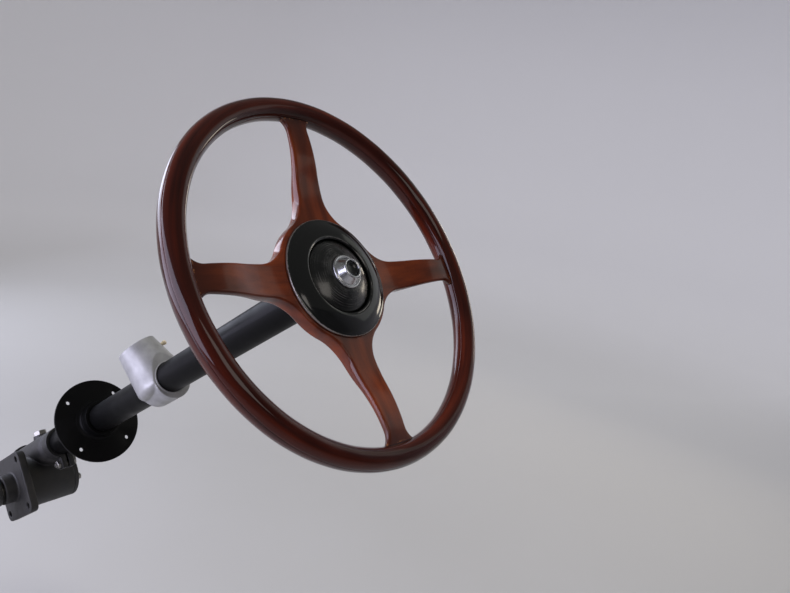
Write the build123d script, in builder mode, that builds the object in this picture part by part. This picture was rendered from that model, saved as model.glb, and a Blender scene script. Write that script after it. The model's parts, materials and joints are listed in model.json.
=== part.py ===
from build123d import *
import os
from math import cos, radians, sin

os.makedirs("parts", exist_ok=True)

# Steering wheel and column of a car of the 1920s, in millimetres. X is the car's right, Y forward, Z up.
# The origin is on the steering box's face against the frame rail, on the axis of the cross shaft.

# The column's place
COLUMN_RAKE = 37.0  # degrees above level
WORM_OFFSET = 64.0  # column's axis to the right of the frame rail
SHAFT_SPACING = 46.0  # column's axis above the cross shaft
RIM_HEIGHT = 900.0  # middle of the rim, up the column from the cross shaft

# The wheel. Heights in this group are from the rim's middle plane, towards the driver
WHEEL_REST_TURN = 3.0  # degrees that the wheel stands off straight ahead
RIM_RADIUS = 215.0  # centre line of the rim
RIM_HALF_WIDTH = 13.2
RIM_HALF_DEPTH = 15.5
SEAM_HEIGHT = 4.5  # glue face between the rim's two rings
GLUE_LINE = 0.1
SPOKE_COUNT = 4
SPIDER_HUB_RADIUS = 79.0
SPOKE_ROOT_HALF_WIDTH = 25.0
SPOKE_TIP_HALF_WIDTH = 13.5
SPOKE_ROOT_FILLET = 48.0
SPOKE_TIP_FLARE = 18.0  # radius of the flare where a spoke meets the rim
SPOKE_TIP_SINK = 5.5  # how far inside the rim the flares would meet it
SPIDER_FRONT_AT_HUB = -11.5
SPIDER_FRONT_AT_RIM = 4.8
SPIDER_HUB_THICKNESS = 19.5
SPIDER_TIP_THICKNESS = 9.0
SPIDER_FRONT_MARGIN = 3.0  # front stays flat this far past the hub's radius
SPIDER_BACK_MARGIN = 18.0  # back stays flat this far past the steel flange
SPIDER_LEVEL_TIP = 12.0  # last of a spoke before the rim, level again
SPIDER_FRONT_ROUND = 2.5
SPIDER_BACK_ROUND = 4.0

# Middle of the wheel
COVER_RADIUS = 73.8
COVER_EDGE_HEIGHT = -8.2
COVER_CREST_RADIUS = 48.5
COVER_CREST_HEIGHT = -2.0
COVER_BULGE = 1.2
COVER_ROLL = 2.0
COVER_DEPTH = 13.0  # crest to the cover's seat in the spider
COVER_FLOOR = 1.5
COVER_CLEARANCE = 0.2
DOME_RADIUS = 42.0
DOME_EDGE_HEIGHT = -6.5
DOME_BULGE = 3.0
FERRULE_BASE_RADIUS = 20.0
FERRULE_BASE_HEIGHT = 7.0
FERRULE_BEAD = 1.4
FERRULE_NECK_RADIUS = 12.6
FERRULE_NECK_HEIGHT = 16.0
FERRULE_LIP_RADIUS = 11.9
FERRULE_LIP_HEIGHT = 18.0
FERRULE_BORE = 9.8
BUTTON_CLEARANCE = 0.2
BUTTON_RECESS = 2.0
BUTTON_CROWN = 1.0
FLANGE_RADIUS = 52.0
FLANGE_THICKNESS = 5.0
HUB_SPIGOT_RADIUS = 24.0
HUB_BOSS_RADIUS = 19.0
HUB_BOSS_LENGTH = 7.0

# Shaft and jacket
SHAFT_RADIUS = 11.1
SHAFT_TOP_COVER = 6.0  # metal of the hub over the shaft's end
RUNNING_FIT = 0.05
JACKET_RADIUS = 23.8
JACKET_WALL = 1.65
JACKET_TOP_GAP = 6.0  # hub boss to the bush's lip
BUSH_LIP_RADIUS = 25.4
BUSH_LIP_THICKNESS = 3.0
BUSH_LENGTH = 30.0

# Lock housing under the dash
LOCK_HEIGHT = 477.0  # where its barrel's axis crosses the column's
LOCK_TOP_LEFT = 17.0  # middle of its flat top from that crossing
LOCK_TOP_RISE = 64.0
LOCK_TOP_DROP = 12.0
LOCK_TOP_RADIUS = 29.8
LOCK_FLARE = 0.16  # growth of the barrel's radius for each millimetre down it
LOCK_LENGTH = 79.0
LOCK_FOOT_ROUND = 12.0
LOCK_MOUTH_REACH = 28.0  # from the crossing up to the flat face that the jacket goes in through
LOCK_SLEEVE_RADIUS = 30.3
LOCK_SLEEVE_LENGTH = 50.0
LOCK_SLEEVE_SHIFT = (1.5, -3.5)  # sleeve's middle from the column's axis
LOCK_BOLT_CIRCLE = 42.0
LOCK_BOLT_COUNT = 3
LOCK_BOLT_RADIUS = 3.3
LOCK_BOLT_DEPTH = 16.0

# Toe board plate
TOE_PLATE_HEIGHT = 250.0
TOE_PLATE_RADIUS = 72.0
TOE_PLATE_THICKNESS = 4.0
TOE_COLLAR_RADIUS = 30.0
TOE_COLLAR_HEIGHT = 24.0
TOE_BOLT_CIRCLE = 116.0
TOE_BOLT_COUNT = 4
TOE_BOLT_RADIUS = 3.3

# Steering box
FLANGE_PLATE_THICKNESS = 14.0
FLANGE_PLATE_RADIUS = 52.0
FRAME_BOLT_CIRCLE = 124.0
FRAME_BOLT_COUNT = 4
FRAME_BOLT_RADIUS = 5.75
FRAME_LUG_RADIUS = 14.0
SECTOR_CASE_RADIUS = 46.0
SECTOR_CASE_LENGTH = 96.0
WORM_CASE_RADIUS = 30.0
WORM_CASE_TOP = 62.0
WORM_CASE_BOTTOM = -62.0
NECK_BASE_HEIGHT = 80.0
NECK_TOP = 104.0
SHAFT_SOCKET_FOOT = 40.0  # foot of the shaft's blind hole, up the column
SHAFT_END_GAP = 0.3
CASTING_ROUND = 2.5
RAIL_BOSS_RADIUS = 27.0
RAIL_BOSS_LENGTH = 22.0
SIDE_COVER_THICKNESS = 8.0
END_COVER_RADIUS = 34.0
END_COVER_THICKNESS = 8.0
GLAND_RADIUS = 11.0
GLAND_LENGTH = 14.0
PLUG_HEIGHT = 22.0  # filler boss, up the column
PLUG_BOSS_RADIUS = 14.0
PLUG_BOSS_RISE = 4.0
PLUG_HEAD_RADIUS = 11.5
PLUG_HEAD_LENGTH = 8.0
ADJUSTER_NUT_RADIUS = 13.0
ADJUSTER_NUT_LENGTH = 7.0
ADJUSTER_SCREW_RADIUS = 6.0
ADJUSTER_SCREW_LENGTH = 15.0

# Clamp round the jacket's foot
CLAMP_FOOT = 83.0
CLAMP_WALL = 6.0
CLAMP_WIDTH = 20.0
CLAMP_SLIT = 4.0
CLAMP_EAR_REACH = 18.0
CLAMP_EAR_THICKNESS = 9.0
CLAMP_BOLT_RADIUS = 4.0

# Cross shaft and pitman arm
CROSS_SHAFT_RADIUS = 15.9
CROSS_SHAFT_TAPER = 13.6  # radius at the arm's outer face
CROSS_SHAFT_THREAD = 12.0
CROSS_SHAFT_SOCKET = 60.0  # depth of its blind hole from the rail face
ARM_GAP = 5.0  # rail boss to the arm
ARM_HUB_RADIUS = 27.0
ARM_HUB_LENGTH = 30.0
ARM_LENGTH = 190.0
ARM_ROOT_RADIUS = 22.0
ARM_END_RADIUS = 16.0
ARM_ROUND = 3.0
ARM_THICKNESS = 15.0
BALL_RADIUS = 14.3
BALL_NECK_RADIUS = 8.5
BALL_NECK_LENGTH = 9.0
PITMAN_NUT_RADIUS = 22.0
PITMAN_NUT_LENGTH = 16.0
THREAD_END = 4.0

# Planes and axes worked out from these
rake = radians(COLUMN_RAKE)
column_foot = (WORM_OFFSET, SHAFT_SPACING * sin(rake), SHAFT_SPACING * cos(rake))
COLUMN = Plane(origin=column_foot, x_dir=(1, 0, 0), z_dir=(0, -cos(rake), sin(rake)))
COLUMN_SIDE = Plane(origin=column_foot, x_dir=COLUMN.y_dir, z_dir=COLUMN.x_dir)
COLUMN_AXIS = Axis(column_foot, COLUMN.z_dir)
rest_turn = radians(WHEEL_REST_TURN)
WHEEL = Plane(
    origin=COLUMN.offset(RIM_HEIGHT).origin,
    x_dir=COLUMN.x_dir * cos(rest_turn) - COLUMN.y_dir * sin(rest_turn),
    z_dir=COLUMN.z_dir,
)
WHEEL_SIDE = Plane(origin=WHEEL.origin, x_dir=WHEEL.x_dir, z_dir=-WHEEL.y_dir)
# Square to the cross shaft, with its own X down the column and its own Y up from it
RAIL = Plane(origin=(0, 0, 0), x_dir=-COLUMN.z_dir, z_dir=(1, 0, 0))


# Rim: two steamed ash rings glued face to face
rim_inner_radius = RIM_RADIUS - RIM_HALF_WIDTH
for ring_name, kept_side in [("rim_front", Keep.TOP), ("rim_back", Keep.BOTTOM)]:
    with BuildPart() as rim_ring:
        with BuildSketch(WHEEL_SIDE):
            with Locations((RIM_RADIUS, 0)):
                Ellipse(RIM_HALF_WIDTH, RIM_HALF_DEPTH)
        revolve(axis=COLUMN_AXIS)
        split(bisect_by=WHEEL.offset(SEAM_HEIGHT), keep=kept_side)
    rim_ring.part.label = ring_name
    export_step(rim_ring.part, f"parts/{ring_name}.step")

# Spider: four carved spokes on one hub, dished towards the driver and let into the rim
tip_circle = rim_inner_radius + SPOKE_TIP_SINK
cover_seat_height = COVER_CREST_HEIGHT - COVER_DEPTH
spider_back_at_hub = SPIDER_FRONT_AT_HUB - SPIDER_HUB_THICKNESS
spider_back_at_rim = SPIDER_FRONT_AT_RIM - SPIDER_TIP_THICKNESS
level_radius = rim_inner_radius - SPIDER_LEVEL_TIP
front_flat = Vector(SPIDER_HUB_RADIUS + SPIDER_FRONT_MARGIN, SPIDER_FRONT_AT_HUB)
front_level = Vector(level_radius, SPIDER_FRONT_AT_RIM)
back_flat = Vector(FLANGE_RADIUS + SPIDER_BACK_MARGIN, spider_back_at_hub)
back_level = Vector(level_radius, spider_back_at_rim)
core_flat, core_level = (front_flat + back_flat) / 2, (front_level + back_level) / 2


def core_height(radius):
    """Height about half way between the spider's front and its back."""
    rise = (core_level.Y - core_flat.Y) / (core_level.X - core_flat.X)
    return core_flat.Y + rise * (radius - core_flat.X)


def corners_at(sketch, radius):
    """Corners of a sketch that lie on a circle round the wheel's middle."""
    return sketch.vertices().filter_by(lambda v: abs(Vector(v.X, v.Y).length - radius) < 0.01)


def gap_edges(part, front):
    """Edges round the four gaps, on the spider's front or on its back."""
    found = ShapeList()
    for wall in part.faces().filter_by(lambda f: abs(f.normal_at().dot(COLUMN.z_dir)) < 0.01):
        for edge in wall.edges():
            middle = WHEEL.to_local_coords(edge @ 0.5)
            radius = Vector(middle.X, middle.Y).length
            along = abs(edge.tangent_at(0.5).dot(COLUMN.z_dir))
            on_front = middle.Z > core_height(radius)
            if along < 0.7 and radius < RIM_RADIUS - 1 and on_front == front:
                found.append(edge)
    return found


with BuildPart() as spider:
    with BuildSketch(WHEEL.offset(spider_back_at_hub)) as spokes:
        Circle(RIM_RADIUS)
        Circle(tip_circle, mode=Mode.SUBTRACT)
        Circle(SPIDER_HUB_RADIUS)
        with PolarLocations(0, SPOKE_COUNT):
            Polygon(
                (0, -SPOKE_ROOT_HALF_WIDTH),
                (RIM_RADIUS, -SPOKE_TIP_HALF_WIDTH),
                (RIM_RADIUS, SPOKE_TIP_HALF_WIDTH),
                (0, SPOKE_ROOT_HALF_WIDTH),
                align=None,
            )
        fillet(corners_at(spokes, SPIDER_HUB_RADIUS), SPOKE_ROOT_FILLET)
        fillet(corners_at(spokes, tip_circle), SPOKE_TIP_FLARE)
    extrude(amount=2 * SPIDER_HUB_THICKNESS)
    # Front and back each run level, then up two arcs, then level again
    with BuildSketch(WHEEL_SIDE):
        with BuildLine():
            Polyline((0, spider_back_at_hub), (0, SPIDER_FRONT_AT_HUB), front_flat)
            front_bend = TangentArc(front_flat, (front_flat + front_level) / 2, tangent=(1, 0))
            TangentArc((front_flat + front_level) / 2, front_level, tangent=front_bend % 1)
            Polyline(front_level, (RIM_RADIUS, SPIDER_FRONT_AT_RIM), (RIM_RADIUS, spider_back_at_rim), back_level)
            back_bend = TangentArc(back_level, (back_level + back_flat) / 2, tangent=(-1, 0))
            TangentArc((back_level + back_flat) / 2, back_flat, tangent=back_bend % 1)
            Line(back_flat, (0, spider_back_at_hub))
        make_face()
    revolve(axis=COLUMN_AXIS, mode=Mode.INTERSECT)
    fillet(gap_edges(spider.part, front=True), SPIDER_FRONT_ROUND)
    fillet(gap_edges(spider.part, front=False), SPIDER_BACK_ROUND)
    # The hub is turned out for the cover and the steel hub, and the spokes are coped to the rim
    with BuildSketch(WHEEL.offset(cover_seat_height)):
        Circle(COVER_RADIUS + COVER_CLEARANCE)
    extrude(amount=SPIDER_HUB_THICKNESS, mode=Mode.SUBTRACT)
    with BuildSketch(WHEEL.offset(spider_back_at_hub)):
        Circle(HUB_SPIGOT_RADIUS)
    extrude(amount=SPIDER_HUB_THICKNESS, mode=Mode.SUBTRACT)
    with BuildSketch(WHEEL_SIDE):
        with Locations((RIM_RADIUS, 0)):
            Ellipse(RIM_HALF_WIDTH + GLUE_LINE, RIM_HALF_DEPTH + GLUE_LINE)
    revolve(axis=COLUMN_AXIS, mode=Mode.SUBTRACT)
spider.part.label = "spider"
export_step(spider.part, "parts/spider.step")

# Steel hub: a flange under the spider, a spigot through it and a boss down the shaft
flange_back = spider_back_at_hub - FLANGE_THICKNESS
boss_end = flange_back - HUB_BOSS_LENGTH
shaft_top = cover_seat_height - SHAFT_TOP_COVER
with BuildPart() as wheel_hub:
    with BuildSketch(WHEEL_SIDE):
        Polygon(
            (0, cover_seat_height),
            (HUB_SPIGOT_RADIUS, cover_seat_height),
            (HUB_SPIGOT_RADIUS, spider_back_at_hub),
            (FLANGE_RADIUS, spider_back_at_hub),
            (FLANGE_RADIUS, flange_back),
            (HUB_BOSS_RADIUS, flange_back),
            (HUB_BOSS_RADIUS, boss_end),
            (SHAFT_RADIUS, boss_end),
            (SHAFT_RADIUS, shaft_top),
            (0, shaft_top),
            align=None,
        )
    revolve(axis=COLUMN_AXIS)
wheel_hub.part.label = "wheel_hub"
export_step(wheel_hub.part, "parts/wheel_hub.step")

# Cover: a spun black ring over the hub, highest at its inner crest
cover_middle = (COVER_RADIUS + COVER_CREST_RADIUS) / 2
cover_middle_height = (COVER_EDGE_HEIGHT + COVER_CREST_HEIGHT) / 2 + COVER_BULGE
with BuildPart() as cover_ring:
    with BuildSketch(WHEEL_SIDE):
        with BuildLine():
            Polyline(
                (COVER_CREST_RADIUS - COVER_ROLL, COVER_CREST_HEIGHT - COVER_ROLL),
                (COVER_CREST_RADIUS - COVER_ROLL, cover_seat_height + COVER_FLOOR),
                (DOME_RADIUS, cover_seat_height + COVER_FLOOR),
                (DOME_RADIUS, cover_seat_height),
                (COVER_RADIUS, cover_seat_height),
                (COVER_RADIUS, COVER_EDGE_HEIGHT),
            )
            ThreePointArc(
                (COVER_RADIUS, COVER_EDGE_HEIGHT),
                (cover_middle, cover_middle_height),
                (COVER_CREST_RADIUS, COVER_CREST_HEIGHT),
            )
            RadiusArc(
                (COVER_CREST_RADIUS, COVER_CREST_HEIGHT),
                (COVER_CREST_RADIUS - COVER_ROLL, COVER_CREST_HEIGHT - COVER_ROLL),
                -COVER_ROLL,
            )
        make_face()
    revolve(axis=COLUMN_AXIS)
cover_ring.part.label = "cover_ring"
export_step(cover_ring.part, "parts/cover_ring.step")

# Dome inside the cover, under the ferrule
dome_top = FERRULE_BASE_HEIGHT - FERRULE_BEAD
dome_middle = ((DOME_RADIUS + FERRULE_BASE_RADIUS) / 2, (DOME_EDGE_HEIGHT + dome_top) / 2 + DOME_BULGE)
with BuildPart() as horn_dome:
    with BuildSketch(WHEEL_SIDE):
        with BuildLine():
            Polyline(
                (FERRULE_BASE_RADIUS, dome_top),
                (FERRULE_BORE, dome_top),
                (FERRULE_BORE, cover_seat_height),
                (DOME_RADIUS, cover_seat_height),
                (DOME_RADIUS, DOME_EDGE_HEIGHT),
            )
            ThreePointArc((DOME_RADIUS, DOME_EDGE_HEIGHT), dome_middle, (FERRULE_BASE_RADIUS, dome_top))
        make_face()
    revolve(axis=COLUMN_AXIS)
horn_dome.part.label = "horn_dome"
export_step(horn_dome.part, "parts/horn_dome.step")

# Plated ferrule with a bead at its foot and a rolled lip
with BuildPart() as ferrule:
    with BuildSketch(WHEEL_SIDE):
        Polygon(
            (FERRULE_BORE, dome_top),
            (FERRULE_BASE_RADIUS, dome_top),
            (FERRULE_BASE_RADIUS - 2 * FERRULE_BEAD, FERRULE_BASE_HEIGHT + FERRULE_BEAD / 2),
            (FERRULE_NECK_RADIUS, FERRULE_NECK_HEIGHT),
            (FERRULE_LIP_RADIUS, FERRULE_LIP_HEIGHT),
            (FERRULE_BORE, FERRULE_LIP_HEIGHT),
            align=None,
        )
        with Locations((FERRULE_BASE_RADIUS - FERRULE_BEAD / 2, FERRULE_BASE_HEIGHT)):
            Circle(FERRULE_BEAD)
    revolve(axis=COLUMN_AXIS)
ferrule.part.label = "ferrule"
export_step(ferrule.part, "parts/ferrule.step")

# Horn push inside the ferrule
button_top = FERRULE_LIP_HEIGHT - BUTTON_RECESS
button_radius = FERRULE_BORE - BUTTON_CLEARANCE
with BuildPart() as horn_button:
    with BuildSketch(WHEEL_SIDE):
        with BuildLine():
            Polyline(
                (0, button_top),
                (0, cover_seat_height),
                (button_radius, cover_seat_height),
                (button_radius, button_top - BUTTON_CROWN),
            )
            TangentArc((0, button_top), (button_radius, button_top - BUTTON_CROWN), tangent=(1, 0))
        make_face()
    revolve(axis=COLUMN_AXIS)
horn_button.part.label = "horn_button"
export_step(horn_button.part, "parts/horn_button.step")

# Steering shaft from the wheel's hub down into the box
with BuildPart() as steering_shaft:
    with BuildSketch(COLUMN.offset(SHAFT_SOCKET_FOOT + SHAFT_END_GAP)):
        Circle(SHAFT_RADIUS)
    extrude(amount=RIM_HEIGHT + shaft_top - SHAFT_SOCKET_FOOT - SHAFT_END_GAP)
steering_shaft.part.label = "steering_shaft"
export_step(steering_shaft.part, "parts/steering_shaft.step")

# Column jacket, standing on the box's neck
jacket_bore = JACKET_RADIUS - JACKET_WALL
lip_top = RIM_HEIGHT + boss_end - JACKET_TOP_GAP
jacket_top = lip_top - BUSH_LIP_THICKNESS
with BuildPart() as column_jacket:
    with BuildSketch(COLUMN.offset(NECK_BASE_HEIGHT)):
        Circle(JACKET_RADIUS)
        Circle(jacket_bore, mode=Mode.SUBTRACT)
    extrude(amount=jacket_top - NECK_BASE_HEIGHT)
column_jacket.part.label = "column_jacket"
export_step(column_jacket.part, "parts/column_jacket.step")

# Bush that centres the shaft at the jacket's top
with BuildPart() as top_bush:
    with BuildSketch(COLUMN.offset(jacket_top - BUSH_LENGTH)):
        Circle(jacket_bore)
    extrude(amount=BUSH_LENGTH)
    with BuildSketch(COLUMN.offset(jacket_top)):
        Circle(BUSH_LIP_RADIUS)
    extrude(amount=BUSH_LIP_THICKNESS)
    with BuildSketch(COLUMN.offset(jacket_top - BUSH_LENGTH)):
        Circle(SHAFT_RADIUS + RUNNING_FIT)
    extrude(amount=BUSH_LENGTH + BUSH_LIP_THICKNESS, mode=Mode.SUBTRACT)
top_bush.part.label = "top_bush"
export_step(top_bush.part, "parts/top_bush.step")

# Lock housing: a die-cast barrel that leans and flares down to the column, with a sleeve round the jacket
lock_crossing = COLUMN.offset(LOCK_HEIGHT)
lock_mouth = COLUMN.offset(LOCK_HEIGHT + LOCK_MOUTH_REACH)
lock_top = lock_crossing.from_local_coords(Vector(-LOCK_TOP_LEFT, LOCK_TOP_RISE, -LOCK_TOP_DROP))
lock_axis = (lock_top - lock_crossing.origin).normalized()
LOCK = Plane(origin=lock_top, x_dir=lock_axis.cross(COLUMN.z_dir), z_dir=lock_axis)
LOCK_SIDE = Plane(origin=lock_top, x_dir=LOCK.x_dir, z_dir=-LOCK.y_dir)
with BuildPart() as lock_housing:
    with BuildSketch(LOCK_SIDE):
        Polygon(
            (0, 0),
            (LOCK_TOP_RADIUS, 0),
            (LOCK_TOP_RADIUS + LOCK_FLARE * LOCK_LENGTH, -LOCK_LENGTH),
            (0, -LOCK_LENGTH),
            align=None,
        )
    revolve(axis=Axis(lock_top, lock_axis))
    fillet(lock_housing.edges().filter_by(GeomType.CIRCLE).sort_by(Axis(lock_top, lock_axis))[0], LOCK_FOOT_ROUND)
    with BuildSketch(lock_mouth.offset(-LOCK_SLEEVE_LENGTH)):
        with Locations(LOCK_SLEEVE_SHIFT):
            Circle(LOCK_SLEEVE_RADIUS)
    extrude(amount=2 * LOCK_SLEEVE_LENGTH)
    split(bisect_by=lock_mouth, keep=Keep.BOTTOM)
    with BuildSketch(lock_mouth.offset(-2 * LOCK_SLEEVE_LENGTH)):
        Circle(JACKET_RADIUS)
    extrude(amount=3 * LOCK_SLEEVE_LENGTH, mode=Mode.SUBTRACT)
    with BuildSketch(LOCK.offset(-LOCK_BOLT_DEPTH)):
        with PolarLocations(LOCK_BOLT_CIRCLE / 2, LOCK_BOLT_COUNT):
            Circle(LOCK_BOLT_RADIUS)
    extrude(amount=LOCK_BOLT_DEPTH, mode=Mode.SUBTRACT)
lock_housing.part.label = "lock_housing"
export_step(lock_housing.part, "parts/lock_housing.step")

# Plate that closes the toe board round the column
with BuildPart() as toe_plate:
    with BuildSketch(COLUMN.offset(TOE_PLATE_HEIGHT)):
        Circle(TOE_PLATE_RADIUS)
    extrude(amount=TOE_PLATE_THICKNESS)
    with BuildSketch(COLUMN.offset(TOE_PLATE_HEIGHT)):
        Circle(TOE_COLLAR_RADIUS)
    extrude(amount=TOE_COLLAR_HEIGHT)
    with BuildSketch(COLUMN.offset(TOE_PLATE_HEIGHT)):
        Circle(JACKET_RADIUS)
        with PolarLocations(TOE_BOLT_CIRCLE / 2, TOE_BOLT_COUNT, start_angle=45):
            Circle(TOE_BOLT_RADIUS)
    extrude(amount=TOE_COLLAR_HEIGHT, mode=Mode.SUBTRACT)
toe_plate.part.label = "toe_plate"
export_step(toe_plate.part, "parts/toe_plate.step")

# Steering box: worm barrel in line with the column, sector case across it, flange on the frame rail
with BuildPart() as box_housing:
    with BuildSketch(RAIL):
        Circle(FLANGE_PLATE_RADIUS)
        with PolarLocations(FRAME_BOLT_CIRCLE / 2, FRAME_BOLT_COUNT, start_angle=45):
            Circle(FRAME_LUG_RADIUS)
        make_hull()
    extrude(amount=FLANGE_PLATE_THICKNESS)
    fillet(box_housing.edges().group_by(Axis.X)[-1], CASTING_ROUND)
    with BuildSketch(RAIL):
        Circle(SECTOR_CASE_RADIUS)
    extrude(amount=SECTOR_CASE_LENGTH)
    with BuildSketch(RAIL):
        Circle(RAIL_BOSS_RADIUS)
    extrude(amount=-RAIL_BOSS_LENGTH)
    with BuildSketch(COLUMN_SIDE):
        Polygon(
            (0, WORM_CASE_BOTTOM),
            (WORM_CASE_RADIUS, WORM_CASE_BOTTOM),
            (WORM_CASE_RADIUS, WORM_CASE_TOP),
            (JACKET_RADIUS, NECK_BASE_HEIGHT),
            (jacket_bore, NECK_BASE_HEIGHT),
            (jacket_bore, NECK_TOP),
            (0, NECK_TOP),
            align=None,
        )
    revolve(axis=COLUMN_AXIS)
    plug_foot = COLUMN.offset(PLUG_HEIGHT).origin
    with BuildSketch(Plane(origin=plug_foot, x_dir=COLUMN.x_dir, z_dir=COLUMN.y_dir)) as plug_boss:
        Circle(PLUG_BOSS_RADIUS)
    extrude(amount=WORM_CASE_RADIUS + PLUG_BOSS_RISE)
    with BuildSketch(COLUMN.offset(SHAFT_SOCKET_FOOT)):
        Circle(SHAFT_RADIUS + RUNNING_FIT)
    extrude(amount=NECK_TOP - SHAFT_SOCKET_FOOT, mode=Mode.SUBTRACT)
    with BuildSketch(RAIL.offset(-RAIL_BOSS_LENGTH)):
        Circle(CROSS_SHAFT_RADIUS + RUNNING_FIT)
    extrude(amount=RAIL_BOSS_LENGTH + CROSS_SHAFT_SOCKET, mode=Mode.SUBTRACT)
    with BuildSketch(RAIL):
        with PolarLocations(FRAME_BOLT_CIRCLE / 2, FRAME_BOLT_COUNT, start_angle=45):
            Circle(FRAME_BOLT_RADIUS)
    extrude(amount=FLANGE_PLATE_THICKNESS, mode=Mode.SUBTRACT)
box_housing.part.label = "box_housing"
export_step(box_housing.part, "parts/box_housing.step")

# Side cover with the adjusting screw and its lock nut
with BuildPart() as side_cover:
    with BuildSketch(RAIL.offset(SECTOR_CASE_LENGTH)):
        Circle(SECTOR_CASE_RADIUS)
    extrude(amount=SIDE_COVER_THICKNESS)
    fillet(side_cover.edges().group_by(Axis.X)[-1], CASTING_ROUND)
side_cover.part.label = "side_cover"
export_step(side_cover.part, "parts/side_cover.step")

with BuildPart() as adjuster:
    with BuildSketch(RAIL.offset(SECTOR_CASE_LENGTH + SIDE_COVER_THICKNESS)):
        RegularPolygon(ADJUSTER_NUT_RADIUS, 6)
    extrude(amount=ADJUSTER_NUT_LENGTH)
    with BuildSketch(RAIL.offset(SECTOR_CASE_LENGTH + SIDE_COVER_THICKNESS)):
        Circle(ADJUSTER_SCREW_RADIUS)
    extrude(amount=ADJUSTER_SCREW_LENGTH)
adjuster.part.label = "adjuster"
export_step(adjuster.part, "parts/adjuster.step")

# End cover below the worm, and the gland that the horn wire's tube comes out of
end_cover_foot = WORM_CASE_BOTTOM - END_COVER_THICKNESS
with BuildPart() as end_cover:
    with BuildSketch(COLUMN.offset(end_cover_foot)):
        Circle(END_COVER_RADIUS)
    extrude(amount=END_COVER_THICKNESS)
end_cover.part.label = "end_cover"
export_step(end_cover.part, "parts/end_cover.step")

with BuildPart() as tube_gland:
    with BuildSketch(COLUMN.offset(end_cover_foot - GLAND_LENGTH)):
        RegularPolygon(GLAND_RADIUS, 6)
    extrude(amount=GLAND_LENGTH)
tube_gland.part.label = "tube_gland"
export_step(tube_gland.part, "parts/tube_gland.step")

# Oil filler plug on the worm barrel
plug_seat = COLUMN.offset(PLUG_HEIGHT).from_local_coords(Vector(0, WORM_CASE_RADIUS + PLUG_BOSS_RISE, 0))
with BuildPart() as filler_plug:
    with BuildSketch(Plane(origin=plug_seat, x_dir=COLUMN.x_dir, z_dir=COLUMN.y_dir)):
        RegularPolygon(PLUG_HEAD_RADIUS, 6)
    extrude(amount=PLUG_HEAD_LENGTH)
filler_plug.part.label = "filler_plug"
export_step(filler_plug.part, "parts/filler_plug.step")

# Split clamp that grips the jacket on the box's neck, its ears under the column
clamp_radius = JACKET_RADIUS + CLAMP_WALL
with BuildPart() as neck_clamp:
    with BuildSketch(COLUMN.offset(CLAMP_FOOT)):
        Circle(clamp_radius)
        with Locations((0, -(clamp_radius + CLAMP_EAR_REACH) / 2)):
            Rectangle(CLAMP_SLIT + 2 * CLAMP_EAR_THICKNESS, clamp_radius + CLAMP_EAR_REACH)
        Circle(JACKET_RADIUS, mode=Mode.SUBTRACT)
        with Locations((0, -(clamp_radius + CLAMP_EAR_REACH) / 2)):
            Rectangle(CLAMP_SLIT, clamp_radius + CLAMP_EAR_REACH, mode=Mode.SUBTRACT)
    extrude(amount=CLAMP_WIDTH)
    bolt_place = COLUMN.offset(CLAMP_FOOT + CLAMP_WIDTH / 2).from_local_coords(
        Vector(-clamp_radius, -(clamp_radius + CLAMP_EAR_REACH / 2), 0)
    )
    with BuildSketch(Plane(origin=bolt_place, x_dir=COLUMN.y_dir, z_dir=COLUMN.x_dir)):
        Circle(CLAMP_BOLT_RADIUS)
    extrude(amount=2 * clamp_radius, mode=Mode.SUBTRACT)
neck_clamp.part.label = "neck_clamp"
export_step(neck_clamp.part, "parts/neck_clamp.step")

# Cross shaft out through the frame rail, tapered for the arm and threaded at its end
arm_inner = -RAIL_BOSS_LENGTH - ARM_GAP
arm_outer = arm_inner - ARM_HUB_LENGTH
nut_outer = arm_outer - PITMAN_NUT_LENGTH
with BuildPart() as cross_shaft:
    with BuildSketch(Plane.XY):
        Polygon(
            (CROSS_SHAFT_SOCKET - SHAFT_END_GAP, 0),
            (CROSS_SHAFT_SOCKET - SHAFT_END_GAP, CROSS_SHAFT_RADIUS),
            (arm_inner, CROSS_SHAFT_RADIUS),
            (arm_outer, CROSS_SHAFT_TAPER),
            (arm_outer, CROSS_SHAFT_THREAD),
            (nut_outer - THREAD_END, CROSS_SHAFT_THREAD),
            (nut_outer - THREAD_END, 0),
            align=None,
        )
    revolve(axis=Axis.X)
cross_shaft.part.label = "cross_shaft"
export_step(cross_shaft.part, "parts/cross_shaft.step")

# Pitman arm hanging outside the rail, with its ball on the outer side
blade_outer = (arm_inner + arm_outer - ARM_THICKNESS) / 2
ball_offset = (BALL_RADIUS**2 - BALL_NECK_RADIUS**2) ** 0.5
ball_centre = (blade_outer - BALL_NECK_LENGTH - ball_offset, 0, -ARM_LENGTH)
with BuildPart() as pitman_arm:
    with BuildSketch(Plane.YZ.offset(blade_outer)):
        Circle(ARM_ROOT_RADIUS)
        with Locations((0, -ARM_LENGTH)):
            Circle(ARM_END_RADIUS)
        make_hull()
    extrude(amount=ARM_THICKNESS)
    fillet(pitman_arm.edges().group_by(Axis.X)[0], ARM_ROUND)
    fillet(pitman_arm.edges().group_by(Axis.X)[-1], ARM_ROUND)
    with BuildSketch(Plane.YZ.offset(arm_outer)):
        Circle(ARM_HUB_RADIUS)
    extrude(amount=ARM_HUB_LENGTH)
    with BuildSketch(Plane.YZ.offset(blade_outer)):
        with Locations((0, -ARM_LENGTH)):
            Circle(BALL_NECK_RADIUS)
    extrude(amount=-BALL_NECK_LENGTH)
    with Locations(ball_centre):
        Sphere(BALL_RADIUS)
    add(cross_shaft.part, mode=Mode.SUBTRACT)
pitman_arm.part.label = "pitman_arm"
export_step(pitman_arm.part, "parts/pitman_arm.step")

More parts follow.
